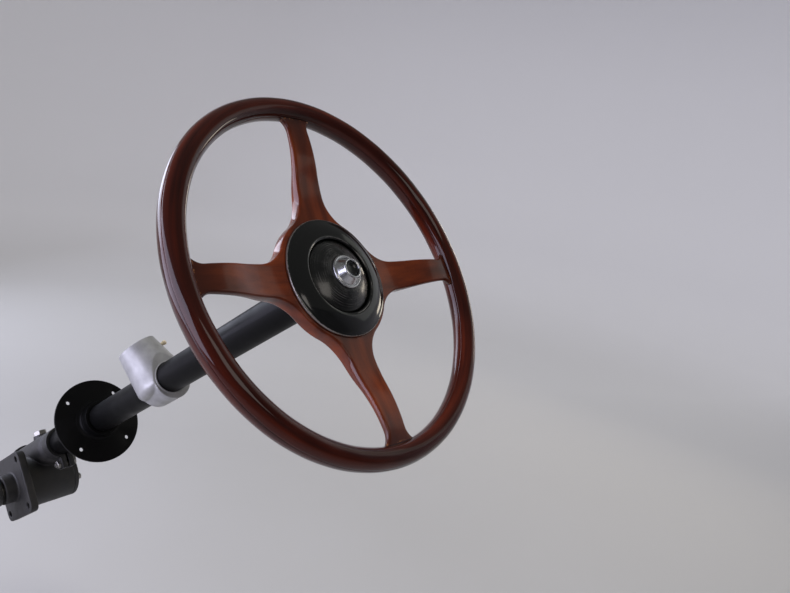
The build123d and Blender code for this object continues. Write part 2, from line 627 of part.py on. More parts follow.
with BuildPart() as pitman_nut:
    with BuildSketch(Plane.YZ.offset(nut_outer)):
        RegularPolygon(PITMAN_NUT_RADIUS, 6)
        Circle(CROSS_SHAFT_THREAD, mode=Mode.SUBTRACT)
    extrude(amount=PITMAN_NUT_LENGTH)
pitman_nut.part.label = "pitman_nut"
export_step(pitman_nut.part, "parts/pitman_nut.step")
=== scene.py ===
# %% [markdown]
# # Steering wheel and column
# This scene dresses one part of a car of the 1920s: its wooden steering wheel, the column under
# it and the steering box that the column stands on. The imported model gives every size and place.
# Here each piece that shows gets the surface and the finish of the real one.
# %% Load the frame
import json
from math import asin, cos, pi, radians, sin, tau

import bmesh
import bpy
import numpy as np
from mathutils import Matrix, Vector


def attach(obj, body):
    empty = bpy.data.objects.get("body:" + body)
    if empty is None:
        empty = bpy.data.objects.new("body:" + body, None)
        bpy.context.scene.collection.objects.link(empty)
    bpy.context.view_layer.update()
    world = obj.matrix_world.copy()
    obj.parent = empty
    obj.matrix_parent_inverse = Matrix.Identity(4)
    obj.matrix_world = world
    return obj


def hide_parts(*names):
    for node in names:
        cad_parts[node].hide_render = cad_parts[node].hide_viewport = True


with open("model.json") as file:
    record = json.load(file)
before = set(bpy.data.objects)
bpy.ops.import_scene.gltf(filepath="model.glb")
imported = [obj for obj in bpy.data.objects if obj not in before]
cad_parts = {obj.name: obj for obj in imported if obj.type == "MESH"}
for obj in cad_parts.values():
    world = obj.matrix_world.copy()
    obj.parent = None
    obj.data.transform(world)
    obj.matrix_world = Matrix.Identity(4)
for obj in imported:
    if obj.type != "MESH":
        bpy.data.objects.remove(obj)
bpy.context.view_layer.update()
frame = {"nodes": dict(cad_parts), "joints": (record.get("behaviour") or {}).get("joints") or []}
nodes = frame["nodes"]
MM = 0.001
MERGE_DISTANCE, SLIVER_LENGTH = MM / 200, MM / 1000
print("nodes in the frame:", len(nodes))

# %% [markdown]
# ## Three sets of axes
# A wheel is easiest to draw looking straight at it, and a column along its own length. The
# steering joint gives both: its place is the middle of the wheel, and its axis runs up the
# column. The wheel stands 3 degrees off straight ahead, so its axes are turned by that much.
# The third set lies on the cross shaft, which points straight out of the frame rail.
# %% Axes
steering = next(joint for joint in frame["joints"] if joint["name"] == "steering")
WHEEL_MIDDLE = np.array(steering["pos_m"])
UP_COLUMN = np.array(steering["axis"])
ACROSS = np.array([1.0, 0.0, 0.0])
OFF_COLUMN = np.cross(UP_COLUMN, ACROSS)
REST_TURN = radians(3)
RIM_HEIGHT = 900.0
COLUMN_FOOT = WHEEL_MIDDLE - UP_COLUMN * RIM_HEIGHT * MM
COLUMN = (COLUMN_FOOT, np.stack([ACROSS, OFF_COLUMN, UP_COLUMN]))
WHEEL = (
    WHEEL_MIDDLE,
    np.stack([
        ACROSS * cos(REST_TURN) - OFF_COLUMN * sin(REST_TURN),
        ACROSS * sin(REST_TURN) + OFF_COLUMN * cos(REST_TURN),
        UP_COLUMN,
    ]),
)
CROSS_SHAFT = (np.zeros(3), np.stack([-UP_COLUMN, OFF_COLUMN, ACROSS]))


def placed(axes, points):
    """Row-frame metres: the axes' origin, plus each point's three millimetres along the three axes."""
    origin, directions = axes
    return origin + points @ directions * MM


print("the wheel's middle is at", WHEEL_MIDDLE.round(3))

# %% [markdown]
# ## Surfaces from grids
# Every new surface is a grid of points worked out by a formula, with a quad between each four
# neighbours. A grid can close on itself in either direction, as a ring does in both. Points
# that fall together, as at the tip of a dome, are merged afterwards, so no hole is left.
# %% Grid to mesh
def quads(rows, columns, wrap_rows, wrap_columns):
    """Corner numbers of the quads of a grid: each point with its neighbours to the right and below."""
    down = np.arange(rows if wrap_rows else rows - 1)[:, None]
    right = np.arange(columns if wrap_columns else columns - 1)[None, :]
    next_down, next_right = (down + 1) % rows, (right + 1) % columns
    corners = [down * columns + right, next_down * columns + right,
               next_down * columns + next_right, down * columns + next_right]
    return np.stack(np.broadcast_arrays(*corners), -1).reshape(-1, 4)


print("a grid of 3 by 4 points has", len(quads(3, 4, False, False)), "quads")

# %% [markdown]
# Several grids can make one mesh. Its doubles are merged before its faces are turned outwards,
# because only then does Blender know which faces are neighbours. Wood needs to know its grain at
# each point, and the mesh carries that as two attributes.
# %% Surface
def surface(name, grids, fills=False):
    """One mesh from grids of (points, wrap rows, wrap columns, grain). Doubles merge, faces point out.

    The grain is four numbers a point: where it lies across, through and along the wood, in
    millimetres, and which board it is cut from.
    """
    points, faces, grains, start = [], [], [], 0
    for grid, wrap_rows, wrap_columns, grain in grids:
        rows, columns = grid.shape[:2]
        points.append(grid.reshape(-1, 3))
        faces.append(quads(rows, columns, wrap_rows, wrap_columns) + start)
        grains.append(np.zeros((rows * columns, 4)) if grain is None else grain.reshape(-1, 4))
        start += rows * columns
    mesh = bpy.data.meshes.new(name)
    mesh.from_pydata(np.concatenate(points).tolist(), [], np.concatenate(faces).tolist())
    grain = np.concatenate(grains)
    if grain.any():
        mesh.attributes.new("grain", "FLOAT_VECTOR", "POINT").data.foreach_set(
            "vector", grain[:, :3].astype(np.float32).ravel())
        mesh.attributes.new("board", "FLOAT", "POINT").data.foreach_set(
            "value", grain[:, 3].astype(np.float32))
    work = bmesh.new()
    work.from_mesh(mesh)
    bmesh.ops.remove_doubles(work, verts=work.verts, dist=MERGE_DISTANCE)
    bmesh.ops.dissolve_degenerate(work, edges=work.edges, dist=SLIVER_LENGTH)
    if fills:
        bmesh.ops.holes_fill(work, edges=[edge for edge in work.edges if edge.is_boundary])
    bmesh.ops.recalc_face_normals(work, faces=work.faces)
    work.to_mesh(mesh)
    work.free()
    mesh.shade_smooth()
    piece = bpy.data.objects.new(name, mesh)
    bpy.context.scene.collection.objects.link(piece)
    return piece


# %% [markdown]
# A finished piece still has to be told what it is. It gets its material and the body that it
# moves with, and the node of the model that it replaces is hidden.
# %% Seat
def seat(piece, body, slot, material, *replaced):
    """Gives a piece its material and the body that it rides on, and hides the nodes that it
    stands for. Its slot argument is not used."""
    piece.data.materials.clear()
    piece.data.materials.append(material)
    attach(piece, body)
    if replaced:
        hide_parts(*replaced)
    print(piece.name, "has", len(piece.data.polygons), "faces and rides on", body)


# %% [markdown]
# ## Materials
# Each material starts from what the real thing is made of and how its surface was made. Colours
# are written as they look on a screen, and one function turns them to the linear values that
# the shader works in. Another adds a node with its settings and its links in one line. Most
# nodes here are of three kinds. A map range takes a value, the two limits it comes from and the
# two it goes to. A maths node takes its terms. A colour mix has its share at input 0, its
# colours at inputs 6 and 7, and its result at output 2.
# %% Colours and nodes
def colour(code):
    """Linear RGBA of an sRGB hex colour: each channel goes through the screen's own curve."""
    channels = np.array([int(code[place:place + 2], 16) for place in (1, 3, 5)]) / 255
    linear = np.where(channels <= 0.04045, channels / 12.92, ((channels + 0.055) / 1.055) ** 2.4)
    return (*linear.tolist(), 1.0)


def add(tree, kind, inputs=(), output=0, **settings):
    """Adds a node, sets its properties, and gives back one of its outputs.

    The inputs come in the node's own order, or by number or name in a dictionary. Each is a
    value, a hex colour or the socket that it is linked from.
    """
    made = tree.nodes.new("ShaderNode" + kind)
    for name, value in settings.items():
        setattr(made, name, value)
    numbered = inputs if isinstance(inputs, dict) else dict(enumerate(inputs))
    for name, value in numbered.items():
        if isinstance(value, bpy.types.NodeSocket):
            tree.links.new(value, made.inputs[name])
        else:
            made.inputs[name].default_value = colour(value) if isinstance(value, str) else value
    return made.outputs[output]


def new_material(name, **sockets):
    """A material with one principled shader, whose even values are set on its own sockets."""
    material = bpy.data.materials.new(name)
    material.use_nodes = True
    tree = material.node_tree
    shader = tree.nodes["Principled BSDF"]
    for socket, value in sockets.items():
        shader.inputs[socket.replace("_", " ")].default_value = value
    return material, tree, shader


print("the screen's #808080 is", round(colour("#808080")[0], 3), "in linear light")

# %% [markdown]
# No old surface is even: it is stained, wiped and worn in patches of a certain size. One
# function gives such patches for every material here. It reads noise at the object's own
# coordinates, so the patches stay on the piece when it moves.
# %% Patches
def patches(tree, size_mm, low=0.0, high=1.0, start=0.0, end=1.0, detail=3.0):
    """A value that goes from start to end in patches about size_mm across. Noise of low or less
    gives start, noise of high or more gives end, and between them it goes evenly."""
    here = add(tree, "TexCoord", output="Object")
    noise = add(tree, "TexNoise", {"Vector": here, "Scale": 1 / (size_mm * MM), "Detail": detail})
    return add(tree, "MapRange", (noise, low, high, start, end))


# %% [markdown]
# ### Varnished wood
# The spokes are a close-grained hardwood, stained red-brown, and the rim is steamed ash, stained
# nearly black-red and varnished many times. Wood is fibres that all run one way, so its pattern
# is long along the board and fine across it. Each point carries its place across, through and
# along its board, and the noise reads that: stretched along, squeezed across. Over it lies clear
# varnish, a thin layer with its own gloss, which is what the shader's coat is. It gives the rim
# sharp, narrow lights on a dark ground, and the spokes, which hands have dulled, broad soft ones.
# %% Wood
PATCH_SIZE = 70
PORE_DARKNESS = 0.25
FIBRE_RELIEF = 0.03


def wood_material(name, dark, middle, light, fibre_mm, streak_mm, length_mm, **sockets):
    """Wood with fibres fibre_mm wide and broad streaks streak_mm wide, both length_mm long.

    The lines of the real grain are 0.1 to 0.3 mm wide, too fine to show, so fibre_mm is about
    four times that.
    """
    material, tree, shader = new_material(name, **sockets)
    grain = add(tree, "Attribute", output="Vector", attribute_name="grain")
    board = add(tree, "Attribute", output="Fac", attribute_name="board")

    def fibres(width_mm, run_mm, detail):
        """Noise squeezed to width_mm across the board and drawn out to run_mm along it."""
        scale = (1 / width_mm, 1 / width_mm, 1 / run_mm)
        place = add(tree, "Mapping", {"Vector": grain, "Scale": scale})
        board_step = add(tree, "Math", (board, 1 / run_mm), operation="MULTIPLY")
        return add(tree, "TexNoise", {"Vector": place, "W": board_step, "Scale": 1.0, "Detail": detail},
                   noise_dimensions="4D")

    streaks = fibres(streak_mm, length_mm, 2.0)
    fine = fibres(fibre_mm, length_mm / 2, 3.0)
    pores = fibres(fibre_mm * 0.6, length_mm / 8, 1.0)
    stained = add(tree, "ValToRGB", {"Fac": streaks})
    stops = stained.node.color_ramp.elements
    stops.new(0.5)
    for stop, position, code in zip(stops, (0.28, 0.5, 0.72), (dark, middle, light)):
        stop.position, stop.color = position, colour(code)
    fibre_shade = add(tree, "MapRange", (fine, 0.35, 0.65, 0.9, 1.05))
    patch_shade = patches(tree, PATCH_SIZE, 0.35, 0.65, 0.82, 1.18, detail=2.0)
    shade = add(tree, "Math", (fibre_shade, patch_shade), operation="MULTIPLY")
    grey = add(tree, "CombineColor", (shade, shade, shade))
    shaded = add(tree, "Mix", {0: 1.0, 6: stained, 7: grey}, 2, data_type="RGBA", blend_type="MULTIPLY")
    open_pores = add(tree, "MapRange", (pores, 0.62, 0.7, 0.0, PORE_DARKNESS))
    tree.links.new(add(tree, "Mix", {0: open_pores, 6: shaded, 7: "#1c0805"}, 2, data_type="RGBA"),
                   shader.inputs["Base Color"])
    tree.links.new(patches(tree, 30, 0.3, 0.7, 0.36, 0.5), shader.inputs["Roughness"])
    tree.links.new(add(tree, "Bump", {"Height": fine, "Distance": FIBRE_RELIEF * MM}),
                   shader.inputs["Normal"])
    return material, tree, shader


rim_wood = wood_material(
    "gloss_varnished_ash", "#230804", "#371007", "#501b0b", fibre_mm=0.9, streak_mm=8.0,
    length_mm=160.0, Coat_Weight=1.0, Coat_Roughness=0.05, Coat_IOR=1.36, Specular_IOR_Level=0.03)[0]
spoke_wood, spoke_tree, spoke_shader = wood_material(
    "satin_varnished_beech", "#4b1c0a", "#63280f", "#7a3412", fibre_mm=0.7, streak_mm=14.0,
    length_mm=110.0, Coat_Weight=0.9, Coat_Roughness=0.11, Coat_IOR=1.43, Specular_IOR_Level=0.04)
print("woods:", rim_wood.name, "and", spoke_wood.name)

# %% [markdown]
# Some patterns here follow the wheel rather than the noise: a joint, a turned ring, a polished
# edge. They need to know how far out from the wheel's middle, and how high above it, each spot
# of the surface lies. A few vector nodes work that out.
# %% Place on the wheel
def wheel_place(tree):
    """Radius and height in millimetres on the wheel's axes. With p the place from the wheel's
    middle and u the way up the column, they are the length of p x u and the product p . u."""
    here = add(tree, "TexCoord", output="Object")
    place = add(tree, "VectorMath", (here, WHEEL_MIDDLE.tolist()), operation="SUBTRACT")
    off_axis = add(tree, "VectorMath", (place, UP_COLUMN.tolist()), operation="CROSS_PRODUCT")
    radius = add(tree, "VectorMath", (off_axis,), "Value", operation="LENGTH")
    height = add(tree, "VectorMath", (place, UP_COLUMN.tolist()), "Value", operation="DOT_PRODUCT")
    return [add(tree, "Math", (metres, 1 / MM), operation="MULTIPLY") for metres in (radius, height)]


radius_here, height_here = wheel_place(spoke_tree)
print("the wheel's radius is read from", WHEEL_MIDDLE.round(3))

# %% [markdown]
# Each spoke is let into the rim, and a hundred years have opened that joint to a dark hairline
# with small pale chips beside it. The spokes' colour also darkens towards the rim. On the wheel's
# axes the rim's skin is the ellipse where q = ((R - r) / w)^2 + (h / d)^2 is 1, so a band of q just
# above 1 follows the joint exactly, and a band outside it holds the chips.
# %% Joint line
RIM_RADIUS = 215.0
RIM_HALF_WIDTH, RIM_HALF_DEPTH = 13.2, 15.5
JOINT_START, JOINT_END = 1.03, 1.09
CHIPS_START, CHIPS_END = 1.08, 1.5
DARK_START, DARK_END = 150.0, 205.0
CHIP_SIZE = 3.5
inside_rim = add(spoke_tree, "Math", (RIM_RADIUS, radius_here), operation="SUBTRACT")
squares = []
for distance, half_size in ((inside_rim, RIM_HALF_WIDTH), (height_here, RIM_HALF_DEPTH)):
    share = add(spoke_tree, "Math", (distance, half_size), operation="DIVIDE")
    squares.append(add(spoke_tree, "Math", (share, 2.0), operation="POWER"))
q = add(spoke_tree, "Math", squares, operation="ADD")
joint = add(spoke_tree, "MapRange", (q, JOINT_START, JOINT_END, 1.0, 0.0))
near_joint = add(spoke_tree, "MapRange", (q, CHIPS_START, CHIPS_END, 1.0, 0.0))
flakes = patches(spoke_tree, CHIP_SIZE, 0.59, 0.63, detail=4.0)
chips = add(spoke_tree, "Math", (near_joint, flakes), operation="MULTIPLY")
# The spokes' colour darkens from DARK_START out to DARK_END, towards the rim.
toward_rim = add(spoke_tree, "MapRange", (radius_here, DARK_START, DARK_END, 0.0, 0.8))
tone = spoke_shader.inputs["Base Color"].links[0].from_socket
for share, code in ((toward_rim, "#2a110c"), (chips, "#a06a42"), (joint, "#120604")):
    tone = add(spoke_tree, "Mix", {0: share, 6: tone, 7: code}, 2, data_type="RGBA")
spoke_tree.links.new(tone, spoke_shader.inputs["Base Color"])
print("nodes in the spokes' material:", len(spoke_tree.nodes))

# %% [markdown]
# ### Black enamel
# Stoved enamel is sprayed on and baked, so it is very smooth and a little wavy. The waves of the
# spray, called orange peel, are 4 to 5 mm across and make a reflection swim a little. The noise
# makes the jacket's enamel duller in patches, as wiping does.
# %% Jacket's enamel
PEEL_RELIEF = 0.004


def orange_peel(tree, shader, wave_mm):
    """Waves of wave_mm across and PEEL_RELIEF deep, as sprayed enamel keeps when it is baked."""
    waves = patches(tree, wave_mm, detail=1.0)
    relief = add(tree, "Bump", {"Height": waves, "Distance": PEEL_RELIEF * MM})
    tree.links.new(relief, shader.inputs["Normal"])


jacket_enamel, tree, shader = new_material(
    "stoved_black_enamel", Base_Color=colour("#090909"), Specular_IOR_Level=0.08,
    Coat_Weight=0.05, Coat_Roughness=0.05)
tree.links.new(patches(tree, 25, 0.3, 0.7, 0.38, 0.5), shader.inputs["Roughness"])
orange_peel(tree, shader, 4.0)
print("made", jacket_enamel.name)

# %% [markdown]
# The cover has the same enamel. Lines of bare-metal colour on its outer edge and, more faintly,
# along its crest are partly enamel polished down to the metal and partly painted highlights of
# those rounded edges. Both lines are read off by radius, made ragged by noise. Where a line lies,
# the shader turns to a metal's, so that edge glints like a wire.
# %% Cover's enamel
EDGE_START, EDGE_FULL = 72.8, 73.3
CREST_LINE_START, CREST_LINE_FULL = 47.9, 48.4
CREST_LINE_FADE, CREST_LINE_END = 48.6, 49.0
CREST_WEAR_AND_HIGHLIGHT = 0.7
cover_enamel, tree, shader = new_material("cover_enamel", Coat_Weight=0.2, Coat_Roughness=0.05)
radius_here = wheel_place(tree)[0]
unevenness = patches(tree, 2.0, 0.3, 0.7, -0.35, 0.35, detail=4.0)
ragged = add(tree, "Math", (radius_here, unevenness), operation="ADD")
# Painted highlight lines, partly real wear: bare-metal colour along the outer edge and the crest.
edge_wear_and_highlight = add(tree, "MapRange", (ragged, EDGE_START, EDGE_FULL))
rising = add(tree, "MapRange", (ragged, CREST_LINE_START, CREST_LINE_FULL))
falling = add(tree, "MapRange", (ragged, CREST_LINE_FADE, CREST_LINE_END, CREST_WEAR_AND_HIGHLIGHT, 0.0))
crest_wear_and_highlight = add(tree, "Math", (rising, falling), operation="MULTIPLY")
broken_crest_wear_and_highlight = add(tree, "Math", (crest_wear_and_highlight, patches(tree, 25, 0.4, 0.6)), operation="MULTIPLY")
bare_metal_and_highlight = add(tree, "Math", (edge_wear_and_highlight, broken_crest_wear_and_highlight), operation="MAXIMUM")
tree.links.new(add(tree, "Mix", {0: bare_metal_and_highlight, 6: "#0b0c0b", 7: "#b5b1ac"}, 2, data_type="RGBA"),
               shader.inputs["Base Color"])
tree.links.new(bare_metal_and_highlight, shader.inputs["Metallic"])
tree.links.new(add(tree, "MapRange", (bare_metal_and_highlight, 0.0, 1.0, 0.1, 0.3)), shader.inputs["Roughness"])
orange_peel(tree, shader, 5.0)
print("nodes in the cover's material:", len(tree.nodes))

# %% [markdown]
# ### Hard rubber
# The dome and the push are moulded of hard rubber, turned and polished. The tool and the
# polishing leave fine rings, which pull a highlight out to either side. They are one noise read
# by radius alone. Real ones lie some hundredths of a millimetre apart, so they are drawn 0.6 mm
# apart. A slower noise marks a few radii with thin grey lines in the colour, which are painted
# glints of the turning rings, and patches break them into arcs.
# %% Hard rubber
hard_rubber, tree, shader = new_material("polished_hard_rubber", Coat_Weight=0.2, Coat_Roughness=0.05)
radius_here = wheel_place(tree)[0]
TURNING_RELIEF = 0.012
LINE_CORE, LINE_EDGE, LINE_STRENGTH = 0.01, 0.05, 0.38
PUSH_CLEAR, LINES_FULL = 14.0, 18.0
turning, slow = [add(tree, "TexNoise", {"W": radius_here, "Scale": per_mm, "Detail": detail},
                     noise_dimensions="1D") for per_mm, detail in ((1.6, 2.0), (0.4, 3.0))]
tree.links.new(add(tree, "Bump", {"Height": turning, "Distance": TURNING_RELIEF * MM}),
               shader.inputs["Normal"])
tree.links.new(patches(tree, 25, 0.3, 0.7, 0.2, 0.32), shader.inputs["Roughness"])
from_half = add(tree, "Math", (slow, 0.5), operation="SUBTRACT")
off_line = add(tree, "Math", (from_half,), operation="ABSOLUTE")
# Thin grey lines at a few radii in the base colour: painted glints of the turning rings.
ring_glint_lines = add(tree, "MapRange", (off_line, LINE_CORE, LINE_EDGE, LINE_STRENGTH, 0.0))
for share in (add(tree, "MapRange", (radius_here, PUSH_CLEAR, LINES_FULL)), patches(tree, 22, 0.42, 0.58)):
    ring_glint_lines = add(tree, "Math", (ring_glint_lines, share), operation="MULTIPLY")
tree.links.new(add(tree, "Mix", {0: ring_glint_lines, 6: "#0b0c0b", 7: "#6d6c69"}, 2, data_type="RGBA"),
               shader.inputs["Base Color"])
print("nodes in the rubber:", len(tree.nodes))

# %% [markdown]
# ### Bare and plated metal
# The ferrule is nickel plate, nearly a mirror, whose hairline scratches from years of polishing
# spread each light into a soft glow. Shafts and nuts are bare machined steel, greyer and duller,
# and the bush and the gland are turned brass. All three are one kind of surface with more or
# less roughness. Real scratches are some hundredths of a millimetre wide, so they are drawn 0.6
# mm wide.
# %% Bare metals
SCRATCH_SIZE, SCRATCH_RELIEF = 0.6, 0.004
SCRATCHED_AREA = 12


def metal_material(name, code, rough):
    """Bare or plated metal, rougher by 0.16 at most where scratches lie close together."""
    material, tree, shader = new_material(name, Base_Color=colour(code), Metallic=1.0)
    scratches = patches(tree, SCRATCH_SIZE, detail=4.0)
    scratched = add(tree, "Math", (scratches, patches(tree, SCRATCHED_AREA)), operation="MULTIPLY")
    tree.links.new(add(tree, "MapRange", (scratched, 0.1, 0.4, rough, rough + 0.16)),
                   shader.inputs["Roughness"])
    tree.links.new(add(tree, "Bump", {"Height": scratches, "Distance": SCRATCH_RELIEF * MM}),
                   shader.inputs["Normal"])
    return material


bright_nickel = metal_material("nickel_plate", "#d6d7da", 0.17)
machined_steel = metal_material("machined_steel", "#9a9893", 0.28)
turned_brass = metal_material("turned_brass", "#a8853c", 0.3)
print("made", bright_nickel.name, machined_steel.name, turned_brass.name)

# %% [markdown]
# ### Skins of forgings and castings
# A forging keeps the scale of its making and a casting the grit of its mould, and paint doesn't
# hide either. The grit breaks a light up into a soft sheen, and the dirt that gathers in patches
# makes that sheen uneven. The lock housing is a die casting, finer and barely metallic.
# %% Cast and forged skins
STAIN_SIZE = 18


def skin_material(name, clean, dirty, rough, grit_mm, relief_mm, metallic=0.0):
    """The skin of a casting or forging: grit all over, and stains that are 0.14 rougher."""
    material, tree, shader = new_material(name, Metallic=metallic)
    stain = patches(tree, STAIN_SIZE, 0.3, 0.7, detail=4.0)
    tree.links.new(add(tree, "Mix", {0: stain, 6: clean, 7: dirty}, 2, data_type="RGBA"),
                   shader.inputs["Base Color"])
    tree.links.new(add(tree, "MapRange", (stain, 0.0, 1.0, rough, rough + 0.14)),
                   shader.inputs["Roughness"])
    grit = patches(tree, grit_mm, detail=4.0)
    tree.links.new(add(tree, "Bump", {"Height": grit, "Distance": relief_mm * MM}),
                   shader.inputs["Normal"])
    return material


black_forging = skin_material("black_painted_forging", "#171717", "#242321", 0.42, 0.8, 0.05)
painted_iron = skin_material("painted_cast_iron", "#161615", "#262421", 0.5, 0.9, 0.12)
grey_casting = skin_material("satin_die_casting", "#a9a9a8", "#919190", 0.36, 0.5, 0.02, 0.35)
print("materials:", len(bpy.data.materials))

# %% [markdown]
# ## The rim
# The rim is two rings, steamed round and glued face to face, so its grain runs round with it and
# a fine line shows on its inner and outer sides where the rings meet. Its section is an ellipse
# a little deeper than it is wide. A hundred years of hands have worn it slightly uneven.
# %% Rim
SEAM_HEIGHT = 4.5
SEAM_WIDTH, SEAM_DEPTH = 0.5, 0.25
WEAR = 0.22


def rim_ring(name, side, board):
    """Half of an elliptic torus. With t round the section and a round the wheel, the radius is
    R + w cos t and the height d sin t, drawn in near the seam by a bell curve and by wear waves."""
    seam_angle = asin(SEAM_HEIGHT / RIM_HALF_DEPTH)
    span = (pi - 2 * seam_angle) if side > 0 else (pi + 2 * seam_angle)
    share = (1 - np.cos(np.linspace(0, pi, 56))) / 2
    section = seam_angle + side * share * span
    angle = np.linspace(0, tau, 400, endpoint=False)[:, None]
    from_seam = np.abs(RIM_HALF_DEPTH * np.sin(section) - SEAM_HEIGHT)
    groove = SEAM_DEPTH * np.exp(-((from_seam / SEAM_WIDTH) ** 2))
    waves = (np.sin(7 * angle + 2 * np.cos(section)) + np.sin(17 * angle - section)
             + np.sin(29 * angle + 3 * section))
    scale = 1 - (groove + WEAR * (3 + waves) / 6) / RIM_HALF_WIDTH
    across = RIM_HALF_WIDTH * np.cos(section) * scale
    height = np.maximum(side * RIM_HALF_DEPTH * np.sin(section) * scale, side * SEAM_HEIGHT) * side
    radius = RIM_RADIUS + across
    points = np.stack([radius * np.cos(angle), radius * np.sin(angle), height + 0 * angle], -1)
    turn = RIM_RADIUS * np.stack([np.cos(angle), np.sin(angle)], -1) + 0 * across[..., None]
    grain = np.stack([across, height, turn[..., 0], turn[..., 1] + board], -1)
    return surface(name, [(placed(WHEEL, points), True, True, grain)])


for name, side, board in (("rim_front_ring", 1, 0.0), ("rim_back_ring", -1, 900.0)):
    seat(rim_ring(name, side, board), "wheel", "varnished_wood", rim_wood,
         "rim_front" if side > 0 else "rim_back")

# %% [markdown]
# ## The spider
# Four spokes and a hub are carved from one blank. Seen from the front, the outline between two
# spokes is a chain of arcs and lines: a small flare at the rim, the spoke's side, a big fillet,
# a stretch of the hub's circle, and the same again the other way. The surface is that outline
# carried inwards to the middle of the spokes, with its height worked out at each point. So one
# grid gives a quarter of the spider, and three turned copies give the rest.
# %% Outline between two spokes
HUB_RADIUS = 79.0
ROOT_HALF_WIDTH, TIP_HALF_WIDTH = 25.0, 13.5
ROOT_FILLET, TIP_FILLET = 48.0, 18.0
FLARE_CIRCLE = 207.3
SPOKE_END = 210.0
RECESS_RADIUS = 74.0
END_POINTS, FLARE_POINTS, SIDE_POINTS, ROOT_POINTS, HUB_POINTS = 4, 14, 44, 26, 14


def tangent_fillet(circle, fillet, beyond):
    """Middle of a fillet that touches the spoke's side and a circle round the wheel's middle.

    It lies the fillet's radius off the side, and the circle's radius with the fillet's added or
    taken off from the wheel's middle. Pythagoras gives its place along the side.
    """
    start = np.array([0.0, ROOT_HALF_WIDTH])
    along = np.array([RIM_RADIUS, TIP_HALF_WIDTH - ROOT_HALF_WIDTH])
    along = along / np.linalg.norm(along)
    outward = np.array([-along[1], along[0]])
    foot = start + outward * fillet
    reach = circle + beyond * fillet
    lead = foot @ along
    return foot + along * (np.sqrt(lead**2 - foot @ foot + reach**2) - lead), outward


def arc_points(middle, radius, start, end, count):
    """Points round an arc, from one angle to another: middle + radius (cos a, sin a)."""
    angle = np.linspace(start, end, count)
    return middle + radius * np.stack([np.cos(angle), np.sin(angle)], -1)


def bearing(vector):
    """Angle of a vector from the first axis."""
    return np.arctan2(vector[1], vector[0])


root, outward = tangent_fillet(HUB_RADIUS, ROOT_FILLET, 1)
flare, outward = tangent_fillet(FLARE_CIRCLE, TIP_FILLET, -1)
flare_start = bearing(flare)
at_rim = flare + TIP_FILLET * np.array([cos(flare_start), sin(flare_start)])
side_turn = bearing(-outward)
half_outline = np.concatenate([
    np.linspace(at_rim * SPOKE_END / FLARE_CIRCLE, at_rim, END_POINTS)[:-1],
    arc_points(flare, TIP_FILLET, flare_start, side_turn, FLARE_POINTS),
    np.linspace(flare - TIP_FILLET * outward, root - ROOT_FILLET * outward, SIDE_POINTS)[1:-1],
    arc_points(root, ROOT_FILLET, side_turn, bearing(root) - pi, ROOT_POINTS),
    arc_points(np.zeros(2), HUB_RADIUS, bearing(root), pi / 4, HUB_POINTS)[1:],
])
mirrored = half_outline[::-1, ::-1][1:]
edge_line = np.concatenate([half_outline, mirrored])
print("outline points between two spokes:", len(edge_line))

# %% [markdown]
# The middle line that the surface runs to is the spoke's own centre line as far as the cover's
# recess, then the recess's circle. Where a point of the outline looks across to is read off by
# length along both lines, with a few places matched so that the grid's lines don't cross.
# %% Middle line
run = np.concatenate([[0], np.cumsum(np.linalg.norm(np.diff(half_outline, axis=0), axis=1))])
flare_end = END_POINTS + FLARE_POINTS - 2
side_end = flare_end + SIDE_POINTS - 2
fillet_turn, hub_start = side_end + 15, side_end + ROOT_POINTS
line_length = SPOKE_END - RECESS_RADIUS
middle_run = np.interp(
    run,
    run[[0, flare_end, side_end, fillet_turn, hub_start, -1]],
    [0, SPOKE_END - half_outline[flare_end, 0], SPOKE_END - half_outline[side_end, 0], line_length,
     line_length + RECESS_RADIUS * bearing(root) * 0.9, line_length + RECESS_RADIUS * pi / 4])
on_line = middle_run < line_length + 1e-6
round_angle = np.maximum(middle_run - line_length, 0) / RECESS_RADIUS
half_middle = np.where(
    on_line[:, None],
    np.stack([SPOKE_END - middle_run, 0 * middle_run], -1),
    RECESS_RADIUS * np.stack([np.cos(round_angle), np.sin(round_angle)], -1))
middle_line = np.concatenate([half_middle, half_middle[::-1, ::-1][1:]])
print("a spoke's centre line is", line_length, "mm long as far as the recess")

# %% [markdown]
# The spokes are dished. Their front runs level over the hub, climbs towards the driver in an S
# of two arcs, and is level again before the rim. The back does the same with a higher climb, so
# a spoke thins from 19.5 mm at the hub to 9 mm at the rim.
# %% Heights of front and back
FRONT_AT_HUB, FRONT_AT_RIM = -11.5, 4.8
BACK_AT_HUB, BACK_AT_RIM = -31.0, -4.2
FRONT_FLAT, BACK_FLAT = HUB_RADIUS + 3.0, 70.0
LEVEL_RADIUS = RIM_RADIUS - RIM_HALF_WIDTH - 12.0


def climb(radius, start, low, high):
    """Level to start, then two arcs of one radius that meet half way to LEVEL_RADIUS, then level.
    An arc that rises by b over a run of a has the radius (a^2 + b^2) / 2b."""
    run_half, rise_half = (LEVEL_RADIUS - start) / 2, (high - low) / 2
    bend = (run_half**2 + rise_half**2) / (2 * rise_half)
    along = np.clip(radius, start, LEVEL_RADIUS) - start
    lower = low + bend - np.sqrt(bend**2 - np.minimum(along, run_half) ** 2)
    upper = high - bend + np.sqrt(bend**2 - np.minimum(2 * run_half - along, run_half) ** 2)
    return np.where(along < run_half, lower, upper)


def front_height(radius):
    """Height of the front face."""
    return climb(radius, FRONT_FLAT, FRONT_AT_HUB, FRONT_AT_RIM)


def back_height(radius):
    """Height of the back face."""
    return climb(radius, BACK_FLAT, BACK_AT_HUB, BACK_AT_RIM)


print("half way out, a spoke is", round(float(front_height(140) - back_height(140)), 1), "mm thick")

